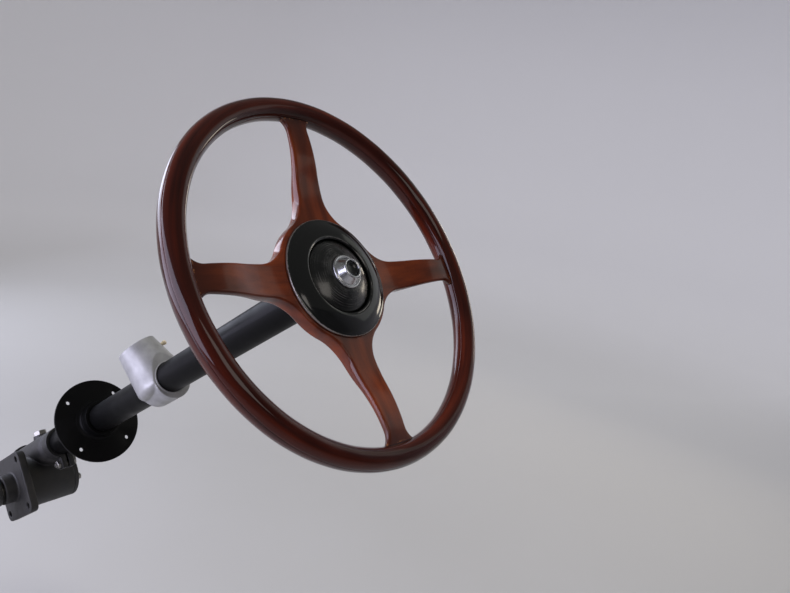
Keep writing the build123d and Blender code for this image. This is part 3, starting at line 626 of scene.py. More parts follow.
# %% [markdown]
# A rounding is measured square to the edge. So each point of the outline needs two things: which
# way is inwards, square to the outline, and how far the middle line lies in that direction.
# %% Way in from the edge
step = np.gradient(edge_line, axis=0)
inward = np.stack([step[:, 1], -step[:, 0]], -1) / np.linalg.norm(step, axis=1)[:, None]
to_middle = middle_line - edge_line
inward = inward * np.sign(np.sum(inward * to_middle, -1))[:, None]
depth = np.maximum(np.sum(inward * to_middle, -1), 0.5)
print("the middle line lies", depth.min().round(1), "to", depth.max().round(1), "mm in from the edge")

# %% [markdown]
# The front edges of a spoke are rounded a little and the back edges more, as a spokeshave leaves
# them. A face runs evenly from the middle line to the start of the rounding. From there its rows
# lie closer, so that the rounding is smooth.
# %% Rows of a face
FRONT_ROUND, BACK_ROUND = 2.5, 4.0
FACE_ROWS, CORNER_ROWS = 9, 7
CORNER_SHARE = 0.85


def rounded_drop(distance, rounding):
    """How far a quarter circle of that radius lies below the face, at a distance from its edge."""
    inside = np.clip(rounding - distance, 0, rounding)
    return rounding - np.sqrt(np.maximum(rounding**2 - inside**2, 0))


def face_rows(height_at, rounding, sign):
    """Rows from the middle line out to the edge on one face: first evenly, then round the corner.

    Each row is a distance from the edge, measured square to it. Where the middle line is near, a
    rounding takes no more than CORNER_SHARE of the way.
    """
    corner = rounding * (1 - np.sin(np.linspace(0, pi / 2, CORNER_ROWS)))
    room = np.minimum(1, CORNER_SHARE * depth / rounding)
    corner = corner[:, None] * room
    inner = depth - (depth - corner[0]) * np.linspace(0, 1, FACE_ROWS)[:, None]
    distance = np.concatenate([inner[:-1], corner])
    share = distance / depth
    plan = edge_line + to_middle * share[..., None]
    height = height_at(np.linalg.norm(plan, axis=-1)) - sign * rounded_drop(distance, rounding)
    return np.concatenate([plan, height[..., None]], -1)


front_rows = face_rows(front_height, FRONT_ROUND, 1)
back_rows = face_rows(back_height, BACK_ROUND, -1)[::-1]
print("rows of points on the front:", len(front_rows))

# %% [markdown]
# Between the two faces runs the side, which bulges slightly in the middle of its height. Front,
# side and back are rows of one grid, so no seam shows at the edges.
# %% Grid of a quarter
SIDE_ROWS = 6
SIDE_BULGE = 0.35
side_share = np.linspace(0, 1, SIDE_ROWS)[1:-1, None, None]
side_rows = front_rows[-1] * (1 - side_share) + back_rows[0] * side_share
bulge = SIDE_BULGE * 4 * side_share[..., 0] * (1 - side_share[..., 0])
side_rows[..., :2] -= inward * bulge[..., None]
quarter = np.concatenate([front_rows, side_rows, back_rows])
print("grid of a quarter:", quarter.shape[:2])

# %% [markdown]
# Each quarter is turned into its place, and the four meet along the spokes' middles. The grain of
# each spoke runs along that spoke, and each spoke is read as a board of its own, so that no two
# look the same.
# %% Turns and grain of a quarter
def rotated(points, quarter_turns):
    """Points turned about the third axis by quarter turns."""
    c, s = round(cos(quarter_turns * pi / 2)), round(sin(quarter_turns * pi / 2))
    x, y = points[..., 0], points[..., 1]
    return np.stack([c * x - s * y, s * x + c * y, points[..., 2]], -1)


def spoke_grain(points, quarter_turns):
    """Across, through and along the nearer spoke; the second half of a quarter lies on the next spoke."""
    columns = points.shape[1]
    second = np.arange(columns) > columns // 2
    along = np.where(second, points[..., 1], points[..., 0])
    across = np.where(second, -points[..., 0], points[..., 1])
    board = np.broadcast_to((quarter_turns + second) % 4 * 300.0, along.shape)
    return np.stack([across, points[..., 2], along, board], -1)


grids = [(placed(WHEEL, rotated(quarter, turn)), False, False, spoke_grain(quarter, turn))
         for turn in range(4)]
print("points on the spokes:", sum(grid[0].shape[0] * grid[0].shape[1] for grid in grids))

# %% [markdown]
# The hub's recess for the cover, its bore and its back are one more grid. Its rings start and end
# on the points where the quarters stop, so the five grids join into one skin. Only the spokes'
# ends, which lie inside the rim, are open, and each is filled with one face.
# %% Spider mesh
BORE_RADIUS = 24.0
RECESS_FLOOR = -15.0
ring_columns = np.abs(np.linalg.norm(middle_line, axis=1) - RECESS_RADIUS) < 1e-6
ring_top = np.concatenate([rotated(quarter[0, ring_columns], turn) for turn in range(4)])
ring_back = np.concatenate([rotated(quarter[-1, ring_columns], turn) for turn in range(4)])
ring_plan = ring_top[:, :2] / RECESS_RADIUS
hub_rings = [(RECESS_RADIUS, RECESS_FLOOR), (60, RECESS_FLOOR), (40, RECESS_FLOOR),
             (BORE_RADIUS, RECESS_FLOOR), (BORE_RADIUS, BACK_AT_HUB), (40, BACK_AT_HUB),
             (BACK_FLAT - 2, BACK_AT_HUB)]
turned_rings = [np.concatenate([ring_plan * radius, np.full((len(ring_plan), 1), height)], 1)
                for radius, height in hub_rings]
hub_grid = np.stack([ring_top, *turned_rings, ring_back])
hub_grain = np.concatenate([hub_grid[..., [1, 2, 0]], np.zeros(hub_grid.shape[:2] + (1,))], -1)
grids.append((placed(WHEEL, hub_grid), False, True, hub_grain))
spider = surface("wooden_spider", grids, fills=True)
seat(spider, "wheel", "satin_wood", spoke_wood, "spider")

# %% [markdown]
# ## Turned pieces
# Most of the metal here came off a lathe or out of a press. Such a piece is one outline spun
# round an axis. The outline is a list of corners, each with the radius of its rounding, because
# no real edge is perfectly sharp and the rounding is what catches the light.
# %% Outline and spin
def outline(corners, steps=5):
    """Points of a polygon of (radius, height, rounding). A rounded corner is a quadratic curve that
    leaves one side and meets the next at the rounding's distance from the corner."""
    corners = np.array(corners, float)
    spots, roundings = corners[:, :2], corners[:, 2]
    before, after = np.roll(spots, 1, 0) - spots, np.roll(spots, -1, 0) - spots
    points = []
    for spot, rounding, back, ahead in zip(spots, roundings, before, after):
        if rounding == 0:
            points.append(spot[None])
            continue
        start = spot + back / np.linalg.norm(back) * rounding
        end = spot + ahead / np.linalg.norm(ahead) * rounding
        share = np.linspace(0, 1, steps)[:, None]
        points.append((1 - share) ** 2 * start + 2 * share * (1 - share) * spot + share**2 * end)
    return np.concatenate(points)


def spun(profile, axes, turns=128):
    """Grid of a profile of (radius, height) spun round the third axis: (r cos a, r sin a, height)."""
    angle = np.linspace(0, tau, turns, endpoint=False)[:, None]
    radius, height = profile[None, :, 0], profile[None, :, 1]
    points = np.stack(np.broadcast_arrays(radius * np.cos(angle), radius * np.sin(angle), height), -1)
    return placed(axes, points)


def turned(name, corners, axes, turns=128):
    """A closed piece from the corners of its outline."""
    return surface(name, [(spun(outline(corners), axes, turns), True, True, None)])


square = [(1, 0, 0), (2, 0, 0), (2, 1, 0.2), (1, 1, 0)]
print("a square with one rounded corner has", len(outline(square)), "points")

# %% [markdown]
# ## The middle of the wheel
# A black cover, pressed as a shallow ring, hides the bolts of the hub. Inside it a hard rubber
# dome carries the plated ferrule, and the horn push sits inside that. All are turned shapes.
# %% Cover, dome, ferrule and horn push
COVER_SEAT = RECESS_FLOOR
COVER_RADIUS, COVER_EDGE = 73.8, -8.2
CREST_RADIUS, CREST_HEIGHT = 48.5, -2.0
cover = turned("hub_cover", [
    (42.1, COVER_SEAT, 0), (COVER_RADIUS, COVER_SEAT, 0), (COVER_RADIUS, COVER_EDGE - 0.2, 1.6),
    (COVER_RADIUS - 3.5, COVER_EDGE + 0.9, 1.0), (61.0, -3.2, 9.0),
    (CREST_RADIUS + 0.6, CREST_HEIGHT, 1.4), (46.6, -3.4, 1.0), (46.2, COVER_SEAT + 1.5, 0.8),
    (42.1, COVER_SEAT + 1.5, 0),
], WHEEL, 192)
seat(cover, "wheel", "black_gloss", cover_enamel, "cover_ring")

dome = turned("horn_boss", [
    (9.8, COVER_SEAT, 0), (42.0, COVER_SEAT, 0), (42.0, COVER_SEAT + 1.6, 0),
    (45.2, COVER_SEAT + 1.6, 0), (45.2, -5.8, 0.8), (42.6, -3.6, 2.5), (34.0, 1.4, 7.0),
    (21.5, 5.6, 4.0), (9.8, 5.6, 0),
], WHEEL, 192)
seat(dome, "wheel", "black_gloss", hard_rubber, "horn_dome")

ferrule = turned("horn_ferrule", [
    (9.8, 5.6, 0), (20.0, 5.6, 0.3), (20.7, 7.1, 0.7), (19.9, 8.5, 0.7), (18.3, 8.5, 0.6),
    (17.6, 7.9, 0.3), (16.9, 8.3, 0.3), (12.7, 15.6, 0.8), (12.2, 16.6, 0.3), (12.3, 17.5, 0.4),
    (11.5, 18.0, 0.4), (10.4, 18.0, 0.4), (9.8, 17.4, 0.4),
], WHEEL, 160)
seat(ferrule, "wheel", "bright_plate", bright_nickel, "ferrule")

button = turned("horn_push", [
    (0, COVER_SEAT, 0), (9.6, COVER_SEAT, 0), (9.6, 15.2, 0.5), (8.4, 15.7, 0.4), (7.9, 14.9, 0.4),
    (5.5, 13.6, 1.5), (0, 13.2, 0),
], WHEEL, 96)
seat(button, "wheel", "black_gloss", hard_rubber, "horn_button")

# %% [markdown]
# ## Hub, shaft and jacket
# The steel hub is bolted to the back of the spider and grips the shaft. The shaft runs down
# inside the jacket, a drawn steel tube that stays still and carries the lock housing. A brass
# bush closes the jacket's top and keeps the shaft in the middle of it.
# %% Hub, bush and jacket
FLANGE_FRONT, FLANGE_BACK, BOSS_END = -31.0, -36.0, -43.0
hub = turned("steel_hub", [
    (0, COVER_SEAT, 0), (BORE_RADIUS, COVER_SEAT, 0), (BORE_RADIUS, FLANGE_FRONT, 0),
    (52.0, FLANGE_FRONT, 0.5), (52.0, FLANGE_BACK, 1.0), (20.0, FLANGE_BACK, 1.5), (19.0, BOSS_END, 1.0),
    (11.1, BOSS_END, 0), (11.1, COVER_SEAT - 6, 0), (0, COVER_SEAT - 6, 0),
], WHEEL)
seat(hub, "wheel", "black_steel", black_forging, "wheel_hub")

JACKET_RADIUS, JACKET_BORE = 23.8, 22.15
LIP_TOP = RIM_HEIGHT + BOSS_END - 6.0
JACKET_TOP = LIP_TOP - 3.0
JACKET_FOOT = 80.0
jacket = turned("enamelled_jacket", [
    (JACKET_BORE, JACKET_FOOT, 0), (JACKET_RADIUS, JACKET_FOOT, 0.4), (JACKET_RADIUS, JACKET_TOP, 0.6),
    (JACKET_BORE, JACKET_TOP, 0),
], COLUMN)
seat(jacket, "column", "black_enamel", jacket_enamel, "column_jacket")

bush = turned("column_bush", [
    (11.15, JACKET_TOP - 30, 0), (JACKET_BORE, JACKET_TOP - 30, 0), (JACKET_BORE, JACKET_TOP, 0),
    (25.4, JACKET_TOP, 0.5), (25.4, LIP_TOP, 0.9), (11.15, LIP_TOP, 0.5),
], COLUMN)
seat(bush, "column", "bush_brass", turned_brass, "top_bush")

# %% [markdown]
# ## Castings
# A casting has no sharp edges, because metal doesn't fill them and the pattern must leave the
# sand. So a casting's mesh is rebuilt here as an even skin of small squares and then smoothed.
# The rebuilding can leave a speck of skin inside a hole, and only the largest island is kept.
# %% Main island
def main_island(mesh):
    """Deletes all but the largest island of a mesh.

    Each point starts with its own number. Along every edge the lower number wins, over and over,
    until nothing changes. Then all points of an island bear one number.
    """
    ends = np.empty(2 * len(mesh.edges), np.int32)
    mesh.edges.foreach_get("vertices", ends)
    first, second = ends.reshape(-1, 2).T
    island, before = np.arange(len(mesh.vertices)), None
    while not np.array_equal(island, before):
        before = island.copy()
        np.minimum.at(island, first, before[second])
        np.minimum.at(island, second, before[first])
        island = island[island]
    strays = np.flatnonzero(island != np.bincount(island).argmax())
    work = bmesh.new()
    work.from_mesh(mesh)
    work.verts.ensure_lookup_table()
    bmesh.ops.delete(work, geom=[work.verts[number] for number in strays], context="VERTS")
    work.to_mesh(mesh)
    work.free()


# %% [markdown]
# The model's node is left alone, since the shared library measures by it, and a copy is worked
# on. Its loose triangles are joined first, so that the rebuilding starts from a closed skin.
# Smoothing then rounds the edges over and fills the inner corners, as they are in a mould.
# %% Casting from a node
def casting(name, node, voxel_mm, passes):
    """A copy of a node's mesh, merged, rebuilt from cells of voxel_mm and smoothed, in which each
    pass moves every point half way to the mean of its neighbours."""
    mesh = nodes[node].data.copy()
    work = bmesh.new()
    work.from_mesh(mesh)
    bmesh.ops.remove_doubles(work, verts=work.verts, dist=SLIVER_LENGTH)
    work.to_mesh(mesh)
    work.free()
    piece = bpy.data.objects.new(name, mesh)
    bpy.context.scene.collection.objects.link(piece)
    skin = piece.modifiers.new("skin", "REMESH")
    skin.mode = "VOXEL"
    skin.voxel_size = voxel_mm * MM
    skin.use_smooth_shade = True
    soft = piece.modifiers.new("soft", "SMOOTH")
    soft.factor = 0.5
    soft.iterations = passes
    evaluated = piece.evaluated_get(bpy.context.evaluated_depsgraph_get())
    baked = bpy.data.meshes.new_from_object(evaluated)
    piece.modifiers.clear()
    piece.data = baked
    main_island(baked)
    baked.shade_smooth()
    return piece


# %% [markdown]
# The lock housing is a die casting with a small bead round its mouth. The steering box is cast
# iron, and the pitman arm is a forging, whose edges are as soft as a casting's.
# %% Lock housing, box and arm
seat(casting("lock_casting", "lock_housing", 0.9, 10), "column", "grey_casting", grey_casting,
     "lock_housing")
LOCK_MOUTH = 505.0
bead = turned("lock_mouth_bead", [
    (JACKET_RADIUS, LOCK_MOUTH - 1.5, 0), (JACKET_RADIUS + 2.6, LOCK_MOUTH - 1.5, 0.3),
    (JACKET_RADIUS + 2.4, LOCK_MOUTH + 0.6, 0.7), (JACKET_RADIUS + 0.9, LOCK_MOUTH + 1.3, 0.7),
    (JACKET_RADIUS, LOCK_MOUTH + 0.3, 0.4),
], COLUMN)
seat(bead, "column", "grey_casting", grey_casting)
seat(casting("box_casting", "box_housing", 1.5, 5), "column", "cast_iron", painted_iron, "box_housing")
arm = casting("pitman_forging", "pitman_arm", 1.1, 4)
seat(arm, "pitman", "black_steel", black_forging, "pitman_arm")

# %% [markdown]
# The ball at the end of the arm is ground bright, because the drag link's socket turns on it. It
# is one with the arm, so its faces are found by their distance from its middle.
# %% Bright ball
BALL_MIDDLE = np.array([-70.0, 0.0, -190.0]) * MM
BALL_RADIUS, REACH_BEYOND = 14.3 * MM, 0.6 * MM
arm.data.materials.append(machined_steel)
centres = np.empty(3 * len(arm.data.polygons), np.float32)
arm.data.polygons.foreach_get("center", centres)
off_middle = np.linalg.norm(centres.reshape(-1, 3) - BALL_MIDDLE, axis=1)
on_ball = off_middle < BALL_RADIUS + REACH_BEYOND
arm.data.polygons.foreach_set("material_index", on_ball.astype(np.int32))
print("bright faces on the ball:", int(on_ball.sum()))

# %% [markdown]
# ## Machined pieces
# A machined edge is broken with a file, so it shows as a thin bright line. The model's node is
# copied, its flat faces are joined, and every edge sharper than 40 degrees is rounded a little.
# %% Broken edges
SHARP_ANGLE = radians(40)


def softened(name, node, width_mm):
    """A copy of a node's mesh with its flat faces joined and its sharp edges rounded."""
    mesh = nodes[node].data.copy()
    work = bmesh.new()
    work.from_mesh(mesh)
    bmesh.ops.remove_doubles(work, verts=work.verts, dist=SLIVER_LENGTH)
    bmesh.ops.dissolve_limit(work, angle_limit=radians(1), verts=work.verts, edges=work.edges)
    sharp = [edge for edge in work.edges
             if len(edge.link_faces) == 2 and edge.calc_face_angle() > SHARP_ANGLE]
    bmesh.ops.bevel(work, geom=sharp, offset=width_mm * MM, offset_type="OFFSET", segments=3,
                    profile=0.5, affect="EDGES", clamp_overlap=True)
    bmesh.ops.triangulate(work, faces=work.faces)
    work.to_mesh(mesh)
    work.free()
    mesh.shade_smooth()
    mesh.set_sharp_from_angle(angle=radians(32))
    piece = bpy.data.objects.new(name, mesh)
    bpy.context.scene.collection.objects.link(piece)
    return piece


for name, node, width, body, slot, material in (
        ("toe_board_plate", "toe_plate", 0.9, "column", "black_enamel", jacket_enamel),
        ("box_side_cover", "side_cover", 0.8, "column", "cast_iron", painted_iron),
        ("box_end_cover", "end_cover", 1.2, "column", "cast_iron", painted_iron),
        ("jacket_clamp", "neck_clamp", 0.8, "column", "black_steel", black_forging),
        ("arm_shaft", "cross_shaft", 0.8, "pitman", "bright_steel", machined_steel)):
    seat(softened(name, node, width), body, slot, material, node)

# %% [markdown]
# The toe board plate is turned with a hollow root where it meets the jacket, which keeps it from
# cracking there. The model has a sharp corner in that place, so a ring fills it.
# %% Root of the toe plate
TOE_PLATE_TOP = 254.0
toe_root = turned("toe_plate_root", [
    (29.0, TOE_PLATE_TOP - 1, 0), (37.5, TOE_PLATE_TOP, 0), (30.6, TOE_PLATE_TOP + 0.6, 6.5),
    (30.0, TOE_PLATE_TOP + 8, 0), (29.0, TOE_PLATE_TOP + 8, 0),
], COLUMN)
seat(toe_root, "column", "black_enamel", jacket_enamel)

# %% [markdown]
# ## Bolts, nuts and plugs
# A hexagon's side lies at apothem / cos(a) from its middle, where a is the angle off the side's
# own middle. The top is turned off by a cone, so its height falls as the side's distance grows,
# and that gives the curved edges that every real nut has.
# %% Hexagons
CHAMFER_START, CHAMFER_SLOPE = 0.93, 0.5


def hexagon(axes, spot, apothem, foot, top, both=False):
    """Grid of a hexagon head that stands on spot, chamfered at its top, or at both ends."""
    angle = np.linspace(0, tau, 72, endpoint=False)
    reach = apothem / np.cos(angle % (pi / 3) - pi / 6)
    flat = CHAMFER_START * apothem
    fall = (reach - flat) * CHAMFER_SLOPE
    lower = [(flat, foot), (reach, foot + fall)] if both else [(reach, foot)]
    rings = [(0, foot), *lower, (reach, top - fall), (flat, top), (0, top)]
    points = np.stack([np.stack([radius * np.cos(angle), radius * np.sin(angle), height + 0 * angle], -1)
                       for radius, height in rings])
    return placed(axes, points + np.array([*spot, 0.0])), False, True, None


print("the corner of a 10 mm hexagon lies", round(5 / cos(pi / 6), 2), "mm out")

# %% [markdown]
# A bolt's tip and a washer are plain discs with a broken edge. Bolts sit evenly round a circle,
# and under most heads lies a washer, so both have a function.
# %% Discs, washers and bolt circles
def disc(axes, spot, radius, foot, top):
    """Grid of a round end with a broken edge, for a bolt's tip or a washer."""
    profile = outline([(0, foot, 0), (radius, foot, 0), (radius, top, 0.35), (0, top, 0)], 3)
    own_axes = (placed(axes, np.array([*spot, 0.0])), axes[1])
    return spun(profile, own_axes, 48), True, True, None


def crisp(piece):
    """Shades curved faces smooth and keeps the corners of a hexagon."""
    piece.data.set_sharp_from_angle(angle=radians(30))
    return piece


def washer_and_head(axes, spot, face, washer, head, both=False):
    """Grids of a washer and a hexagon on it. Each is given as its half width and its upper side's
    height over the face."""
    return [disc(axes, spot, washer[0], face, face + washer[1]),
            hexagon(axes, spot, head[0], face + washer[1], face + head[1], both)]


def ring_of(count, radius, start=0.0):
    """Places evenly round a bolt circle."""
    return [(radius * cos(start + tau * step / count), radius * sin(start + tau * step / count))
            for step in range(count)]


print("six places round a circle of 10:", np.round(ring_of(6, 10), 1).tolist())

# %% [markdown]
# The box's two covers are held by bolts with washers, and the clamp by one bolt and its nut. The
# hub's flange is held by nuts, from which the bolts' tips stand out.
# %% Bolts and nuts
BOX_END = (COLUMN_FOOT, np.stack([ACROSS, -OFF_COLUMN, -UP_COLUMN]))
WHEEL_BACK = (WHEEL_MIDDLE, WHEEL[1] * np.array([[1.0], [-1.0], [-1.0]]))
CLAMP_BOLT_BELOW, CLAMP_HEIGHT = 38.8, 93.0
CLAMP_NUT_APOTHEM, CLAMP_BOLT_RADIUS = 6.3, 4.0
CLAMP = (placed(COLUMN, np.array([0.0, -CLAMP_BOLT_BELOW, CLAMP_HEIGHT])), CROSS_SHAFT[1])
SIDE_FACE, END_FACE, FLANGE_FACE, EAR_FACE = 104.0, 70.0, 36.0, 11.0
SIDE_BOLTS_RADIUS, END_BOLTS_RADIUS, HUB_BOLTS_RADIUS = 37.0, 25.5, 38.0

box_bolts = []
for spot in ring_of(6, SIDE_BOLTS_RADIUS, pi / 6):
    box_bolts += washer_and_head(CROSS_SHAFT, spot, SIDE_FACE, (7.0, 1.0), (5.5, 5.2))
for spot in ring_of(4, END_BOLTS_RADIUS, pi / 4):
    box_bolts += washer_and_head(BOX_END, spot, END_FACE, (5.8, 0.9), (4.7, 4.6))
box_bolts += [hexagon(CLAMP, (0, 0), CLAMP_NUT_APOTHEM, EAR_FACE, EAR_FACE + 5.5),
              hexagon(CLAMP, (0, 0), CLAMP_NUT_APOTHEM, -EAR_FACE - 6.5, -EAR_FACE, both=True),
              disc(CLAMP, (0, 0), CLAMP_BOLT_RADIUS, -EAR_FACE - 6.0, EAR_FACE),
              disc((CLAMP[0], -CLAMP[1]), (0, 0), CLAMP_BOLT_RADIUS - 0.1, EAR_FACE, EAR_FACE + 9.0)]
seat(crisp(surface("box_and_clamp_bolts", box_bolts)), "column", "bright_steel", machined_steel)

hub_nuts = []
for spot in ring_of(6, HUB_BOLTS_RADIUS):
    hub_nuts += washer_and_head(WHEEL_BACK, spot, FLANGE_FACE, (6.6, 0.8), (5.5, 5.4), both=True)
    hub_nuts += [disc(WHEEL_BACK, spot, 3.1, FLANGE_FACE + 5.0, FLANGE_FACE + 6.8)]
seat(crisp(surface("hub_flange_nuts", hub_nuts)), "wheel", "bright_steel", machined_steel)

# %% [markdown]
# The adjuster is a lock nut on a slotted screw, so its thread and its slot are drawn too. The
# thread is a row of rings rather than a helix, because at this size the eye can't tell them
# apart. The screw's end is two half discs, and the slot is the gap that they leave.
# %% Adjuster
NUT_FACE, SCREW_END, SLOT_DEPTH = 111.0, 119.0, 1.6
THREAD_ROOT, THREAD_CREST, THREAD_PITCH = 5.4, 6.0, 1.3
SLOT_HALF_WIDTH = 0.8
ADJUSTER_NUT_RADIUS = 13.0
CORNER_TO_FLAT = cos(pi / 6)
slot_floor = SCREW_END - SLOT_DEPTH
thread = [(0, SIDE_FACE, 0), (THREAD_CREST, SIDE_FACE, 0)]
for step in range(5):
    foot = NUT_FACE - 0.4 + step * THREAD_PITCH
    thread += [(THREAD_ROOT, foot, 0), (THREAD_CREST, foot + THREAD_PITCH / 2, 0)]
thread += [(THREAD_ROOT, slot_floor, 0), (0, slot_floor, 0)]
half_turn = np.linspace(0.15, pi - 0.15, 24)
half_edge = np.stack([THREAD_ROOT * np.cos(half_turn),
                      np.maximum(THREAD_ROOT * np.sin(half_turn), SLOT_HALF_WIDTH)], -1)
half_middle = np.array([0.0, 3.0])
screw_grids = [(spun(outline(thread), CROSS_SHAFT, 64), True, True, None),
               hexagon(CROSS_SHAFT, (0, 0), ADJUSTER_NUT_RADIUS * CORNER_TO_FLAT, SIDE_FACE, NUT_FACE,
                       both=True)]
for side in (1, -1):
    rings = [(0.0, slot_floor - 0.3), (1.0, slot_floor - 0.3), (1.0, SCREW_END), (0.0, SCREW_END)]
    points = np.stack([np.concatenate([(half_middle + (half_edge - half_middle) * share) * side,
                                       np.full((len(half_edge), 1), height)], 1)
                       for share, height in rings])
    screw_grids.append((placed(CROSS_SHAFT, points), False, True, None))
screw = surface("adjuster_and_nut", screw_grids)
seat(crisp(screw), "column", "bright_steel", machined_steel, "adjuster")

# %% [markdown]
# The gland that lets the horn's wire out, the oil plug and the arm's nut are hexagons too. Each
# has the size of the node that it stands for.
# %% Gland, plug and arm nut
GLAND_RADIUS, GLAND_HEIGHT = 11.0, 14.0
gland = surface("horn_tube_gland", [
    hexagon(BOX_END, (0, 0), GLAND_RADIUS * CORNER_TO_FLAT, END_FACE, END_FACE + GLAND_HEIGHT)])
seat(crisp(gland), "column", "bush_brass", turned_brass, "tube_gland")

PLUG_HEIGHT, PLUG_RADIUS = 22.0, 11.5
PLUG_SEAT, PLUG_TOP = 34.0, 42.0
PLUG = (COLUMN_FOOT + UP_COLUMN * PLUG_HEIGHT * MM, np.stack([ACROSS, -UP_COLUMN, OFF_COLUMN]))
plug = surface("oil_plug", [hexagon(PLUG, (0, 0), PLUG_RADIUS * CORNER_TO_FLAT, PLUG_SEAT, PLUG_TOP)])
seat(crisp(plug), "column", "bright_steel", machined_steel, "filler_plug")

ARM_NUT_RADIUS = 22.0
ARM_NUT_OUTER, ARM_NUT_INNER = -73.0, -57.0
ARM_SHAFT = (np.zeros(3), np.array([[0.0, 1.0, 0.0], [0.0, 0.0, 1.0], [1.0, 0.0, 0.0]]))
arm_nut = surface("arm_nut", [
    hexagon(ARM_SHAFT, (0, 0), ARM_NUT_RADIUS * CORNER_TO_FLAT, ARM_NUT_OUTER, ARM_NUT_INNER, both=True)])
seat(crisp(arm_nut), "pitman", "bright_steel", machined_steel, "pitman_nut")

# %% [markdown]
# A small terminal of cream-coloured fibre stands out of the lock housing's far side. It leans up
# and outwards, so it has axes of its own. Fibre is matt, and its paleness is all that shows.
# %% Terminal
TERMINAL_PLACE = np.array([15.4, 57.7, 481.0])
TERMINAL_WAY = np.array([0.86, 0.30, 0.40])
way = TERMINAL_WAY / np.linalg.norm(TERMINAL_WAY) @ COLUMN[1]
beside = np.cross(way, UP_COLUMN)
beside = beside / np.linalg.norm(beside)
TERMINAL = (placed(COLUMN, TERMINAL_PLACE), np.stack([beside, np.cross(way, beside), way]))
terminal = turned("lock_terminal", [
    (0, -4, 0), (2.9, -4, 0), (2.9, 3.6, 0.3), (3.8, 4.5, 0.5), (3.8, 6.9, 0.8), (2.6, 8.7, 1.1),
    (0, 9.0, 0),
], TERMINAL, 48)
cream = new_material("cream_fibre", Base_Color=colour("#e6d6b6"), Roughness=0.5)[0]
seat(terminal, "column", None, cream)

# %% [markdown]
# The shaft shows only between the hub and the bush, and it keeps the model's own shape.
# %% Shaft
shaft = nodes["steering_shaft"]
if shaft.material_slots:
    shaft.material_slots[0].material = machined_steel
else:
    shaft.data.materials.append(machined_steel)
print("the shaft is in", machined_steel.name)

# %% [markdown]
# ## Room, light and camera
# The part hangs by its mount over a paper floor that curves up into a round wall. The wall is
# nearly white on the far side and grey on the near side, so the varnish reflects less light
# there and keeps its depth. The profile of the room is in metres.
# %% Floor and wall
FLOOR_HEIGHT = -0.32
ROOM_MIDDLE = np.array([0.0, -0.3, FLOOR_HEIGHT])
WALL_BEARING = radians(48)
FLOOR_RADIUS, WALL_RADIUS = 1.0, 3.6
TONE_REACH = 1.6
room_profile = np.array([(0, 0), (1.0, 0), (3.0, 0), (3.6, 0.08), (4.1, 0.35), (4.4, 0.9), (4.5, 1.6),
                         (4.5, 3.2)])
room = surface("floor", [(spun(room_profile / MM, (ROOM_MIDDLE, np.eye(3)), 96), True, False, None)])
paper, tree, shader = new_material("matt_paper", Roughness=0.9, Specular_IOR_Level=0.1)
here = add(tree, "TexCoord", output="Object")
away = add(tree, "VectorMath", (here,), "Value", operation="LENGTH")
far_side = (cos(WALL_BEARING), sin(WALL_BEARING), 0.0)
ahead = add(tree, "VectorMath", (here, far_side), "Value", operation="DOT_PRODUCT")
lit = add(tree, "MapRange", (ahead, -TONE_REACH, TONE_REACH))
wall_paper = add(tree, "Mix", {0: lit, 6: "#747372", 7: "#f6f5f3"}, 2, data_type="RGBA")
floor_paper = add(tree, "Mix", {0: patches(tree, 400), 6: "#b9b8b6", 7: "#b5b4b1"}, 2, data_type="RGBA")
on_wall = add(tree, "MapRange", (away, FLOOR_RADIUS, WALL_RADIUS))
tone = add(tree, "Mix", {0: on_wall, 6: floor_paper, 7: wall_paper}, 2, data_type="RGBA")
tree.links.new(tone, shader.inputs["Base Color"])
room.data.materials.append(paper)
print("the floor lies at", FLOOR_HEIGHT, "m and has", len(room.data.polygons), "faces")

# %% [markdown]
# Large lamps stand for windows and for the sky, and their reflections lie along the rim as they
# do in a car. The one overhead only fills the shadows, so it isn't mirrored in gloss.
# %% Lamps
def softbox(name, place, aim, size, watts, tint, mirrored=True):
    """A rectangular lamp that looks from place to aim. A fill lamp isn't mirrored in gloss."""
    lamp = bpy.data.lights.new(name, "AREA")
    lamp.shape = "RECTANGLE"
    lamp.size, lamp.size_y = size
    lamp.energy = watts
    lamp.color = colour(tint)[:3]
    holder = bpy.data.objects.new(name, lamp)
    holder.location = place
    holder.rotation_euler = (Vector(aim) - Vector(place)).to_track_quat("-Z", "Y").to_euler()
    holder.visible_camera = False
    holder.visible_glossy = mirrored
    bpy.context.scene.collection.objects.link(holder)


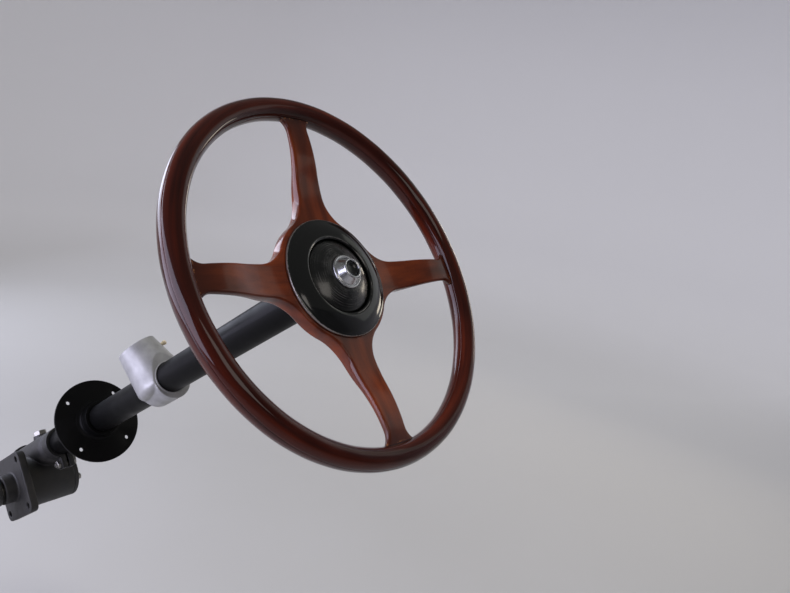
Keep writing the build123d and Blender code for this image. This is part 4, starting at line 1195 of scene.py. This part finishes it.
AIM = Vector(WHEEL_MIDDLE) * 0.7
softbox("left_window", (-1.88, 0.10, 0.69), WHEEL_MIDDLE, (3.3, 1.7), 82, "#e4e3ff")
softbox("ahead", (-0.5, 2.3, 1.0), WHEEL_MIDDLE, (2.4, 0.85), 30, "#e3e9ff")
softbox("overhead", (0.6, -0.3, 3.0), AIM, (2.4, 2.4), 52, "#ffffff", mirrored=False)
softbox("behind_driver", (-0.4, -3.0, 1.75), WHEEL_MIDDLE, (1.2, 1.2), 9, "#fff8f0")
softbox("right_sky", (2.2, -1.4, 1.6), WHEEL_MIDDLE, (1.6, 1.0), 2, "#f4f8ee")
softbox("right_window", (2.3, -0.6, 0.75), WHEEL_MIDDLE, (1.6, 0.16), 4, "#fff2dc")
world = bpy.data.worlds.new("pale_room")
world.use_nodes = True
background = world.node_tree.nodes["Background"]
background.inputs["Color"].default_value = colour("#ffffff")
background.inputs["Strength"].default_value = 0.14
bpy.context.scene.world = world
bpy.context.scene.view_settings.view_transform = "Standard"
print("lamps:", len(bpy.data.lights))

# %% [markdown]
# The camera stands where the photographer held it: outside the car's left window, near the
# wheel, looking across it and down. The wheel's ellipse in the photograph gave its place.
# %% Camera
CAMERA_FROM_WHEEL = np.array([-580.8, -171.6, 512.5])
CAMERA_PLACE = Vector(WHEEL_MIDDLE + CAMERA_FROM_WHEEL @ COLUMN[1] * MM)
CAMERA_BEARING, CAMERA_DIP, CAMERA_ROLL = radians(53.27), radians(13.75), radians(8.44)
FOCAL_LENGTH, SENSOR_WIDTH = 31.13, 36.0
forward = Vector((sin(CAMERA_BEARING) * cos(CAMERA_DIP), cos(CAMERA_BEARING) * cos(CAMERA_DIP),
                  -sin(CAMERA_DIP)))
level = forward.cross(Vector((0, 0, 1))).normalized()
right = level * cos(CAMERA_ROLL) + level.cross(forward) * sin(CAMERA_ROLL)
lens = bpy.data.cameras.new("camera")
lens.lens, lens.sensor_width = FOCAL_LENGTH, SENSOR_WIDTH
camera = bpy.data.objects.new("camera", lens)
turn = Matrix((right, right.cross(forward), -forward)).transposed().to_4x4()
camera.matrix_world = Matrix.Translation(CAMERA_PLACE) @ turn
bpy.context.scene.collection.objects.link(camera)
bpy.context.scene.camera = camera
print("camera at", [round(value, 3) for value in CAMERA_PLACE])
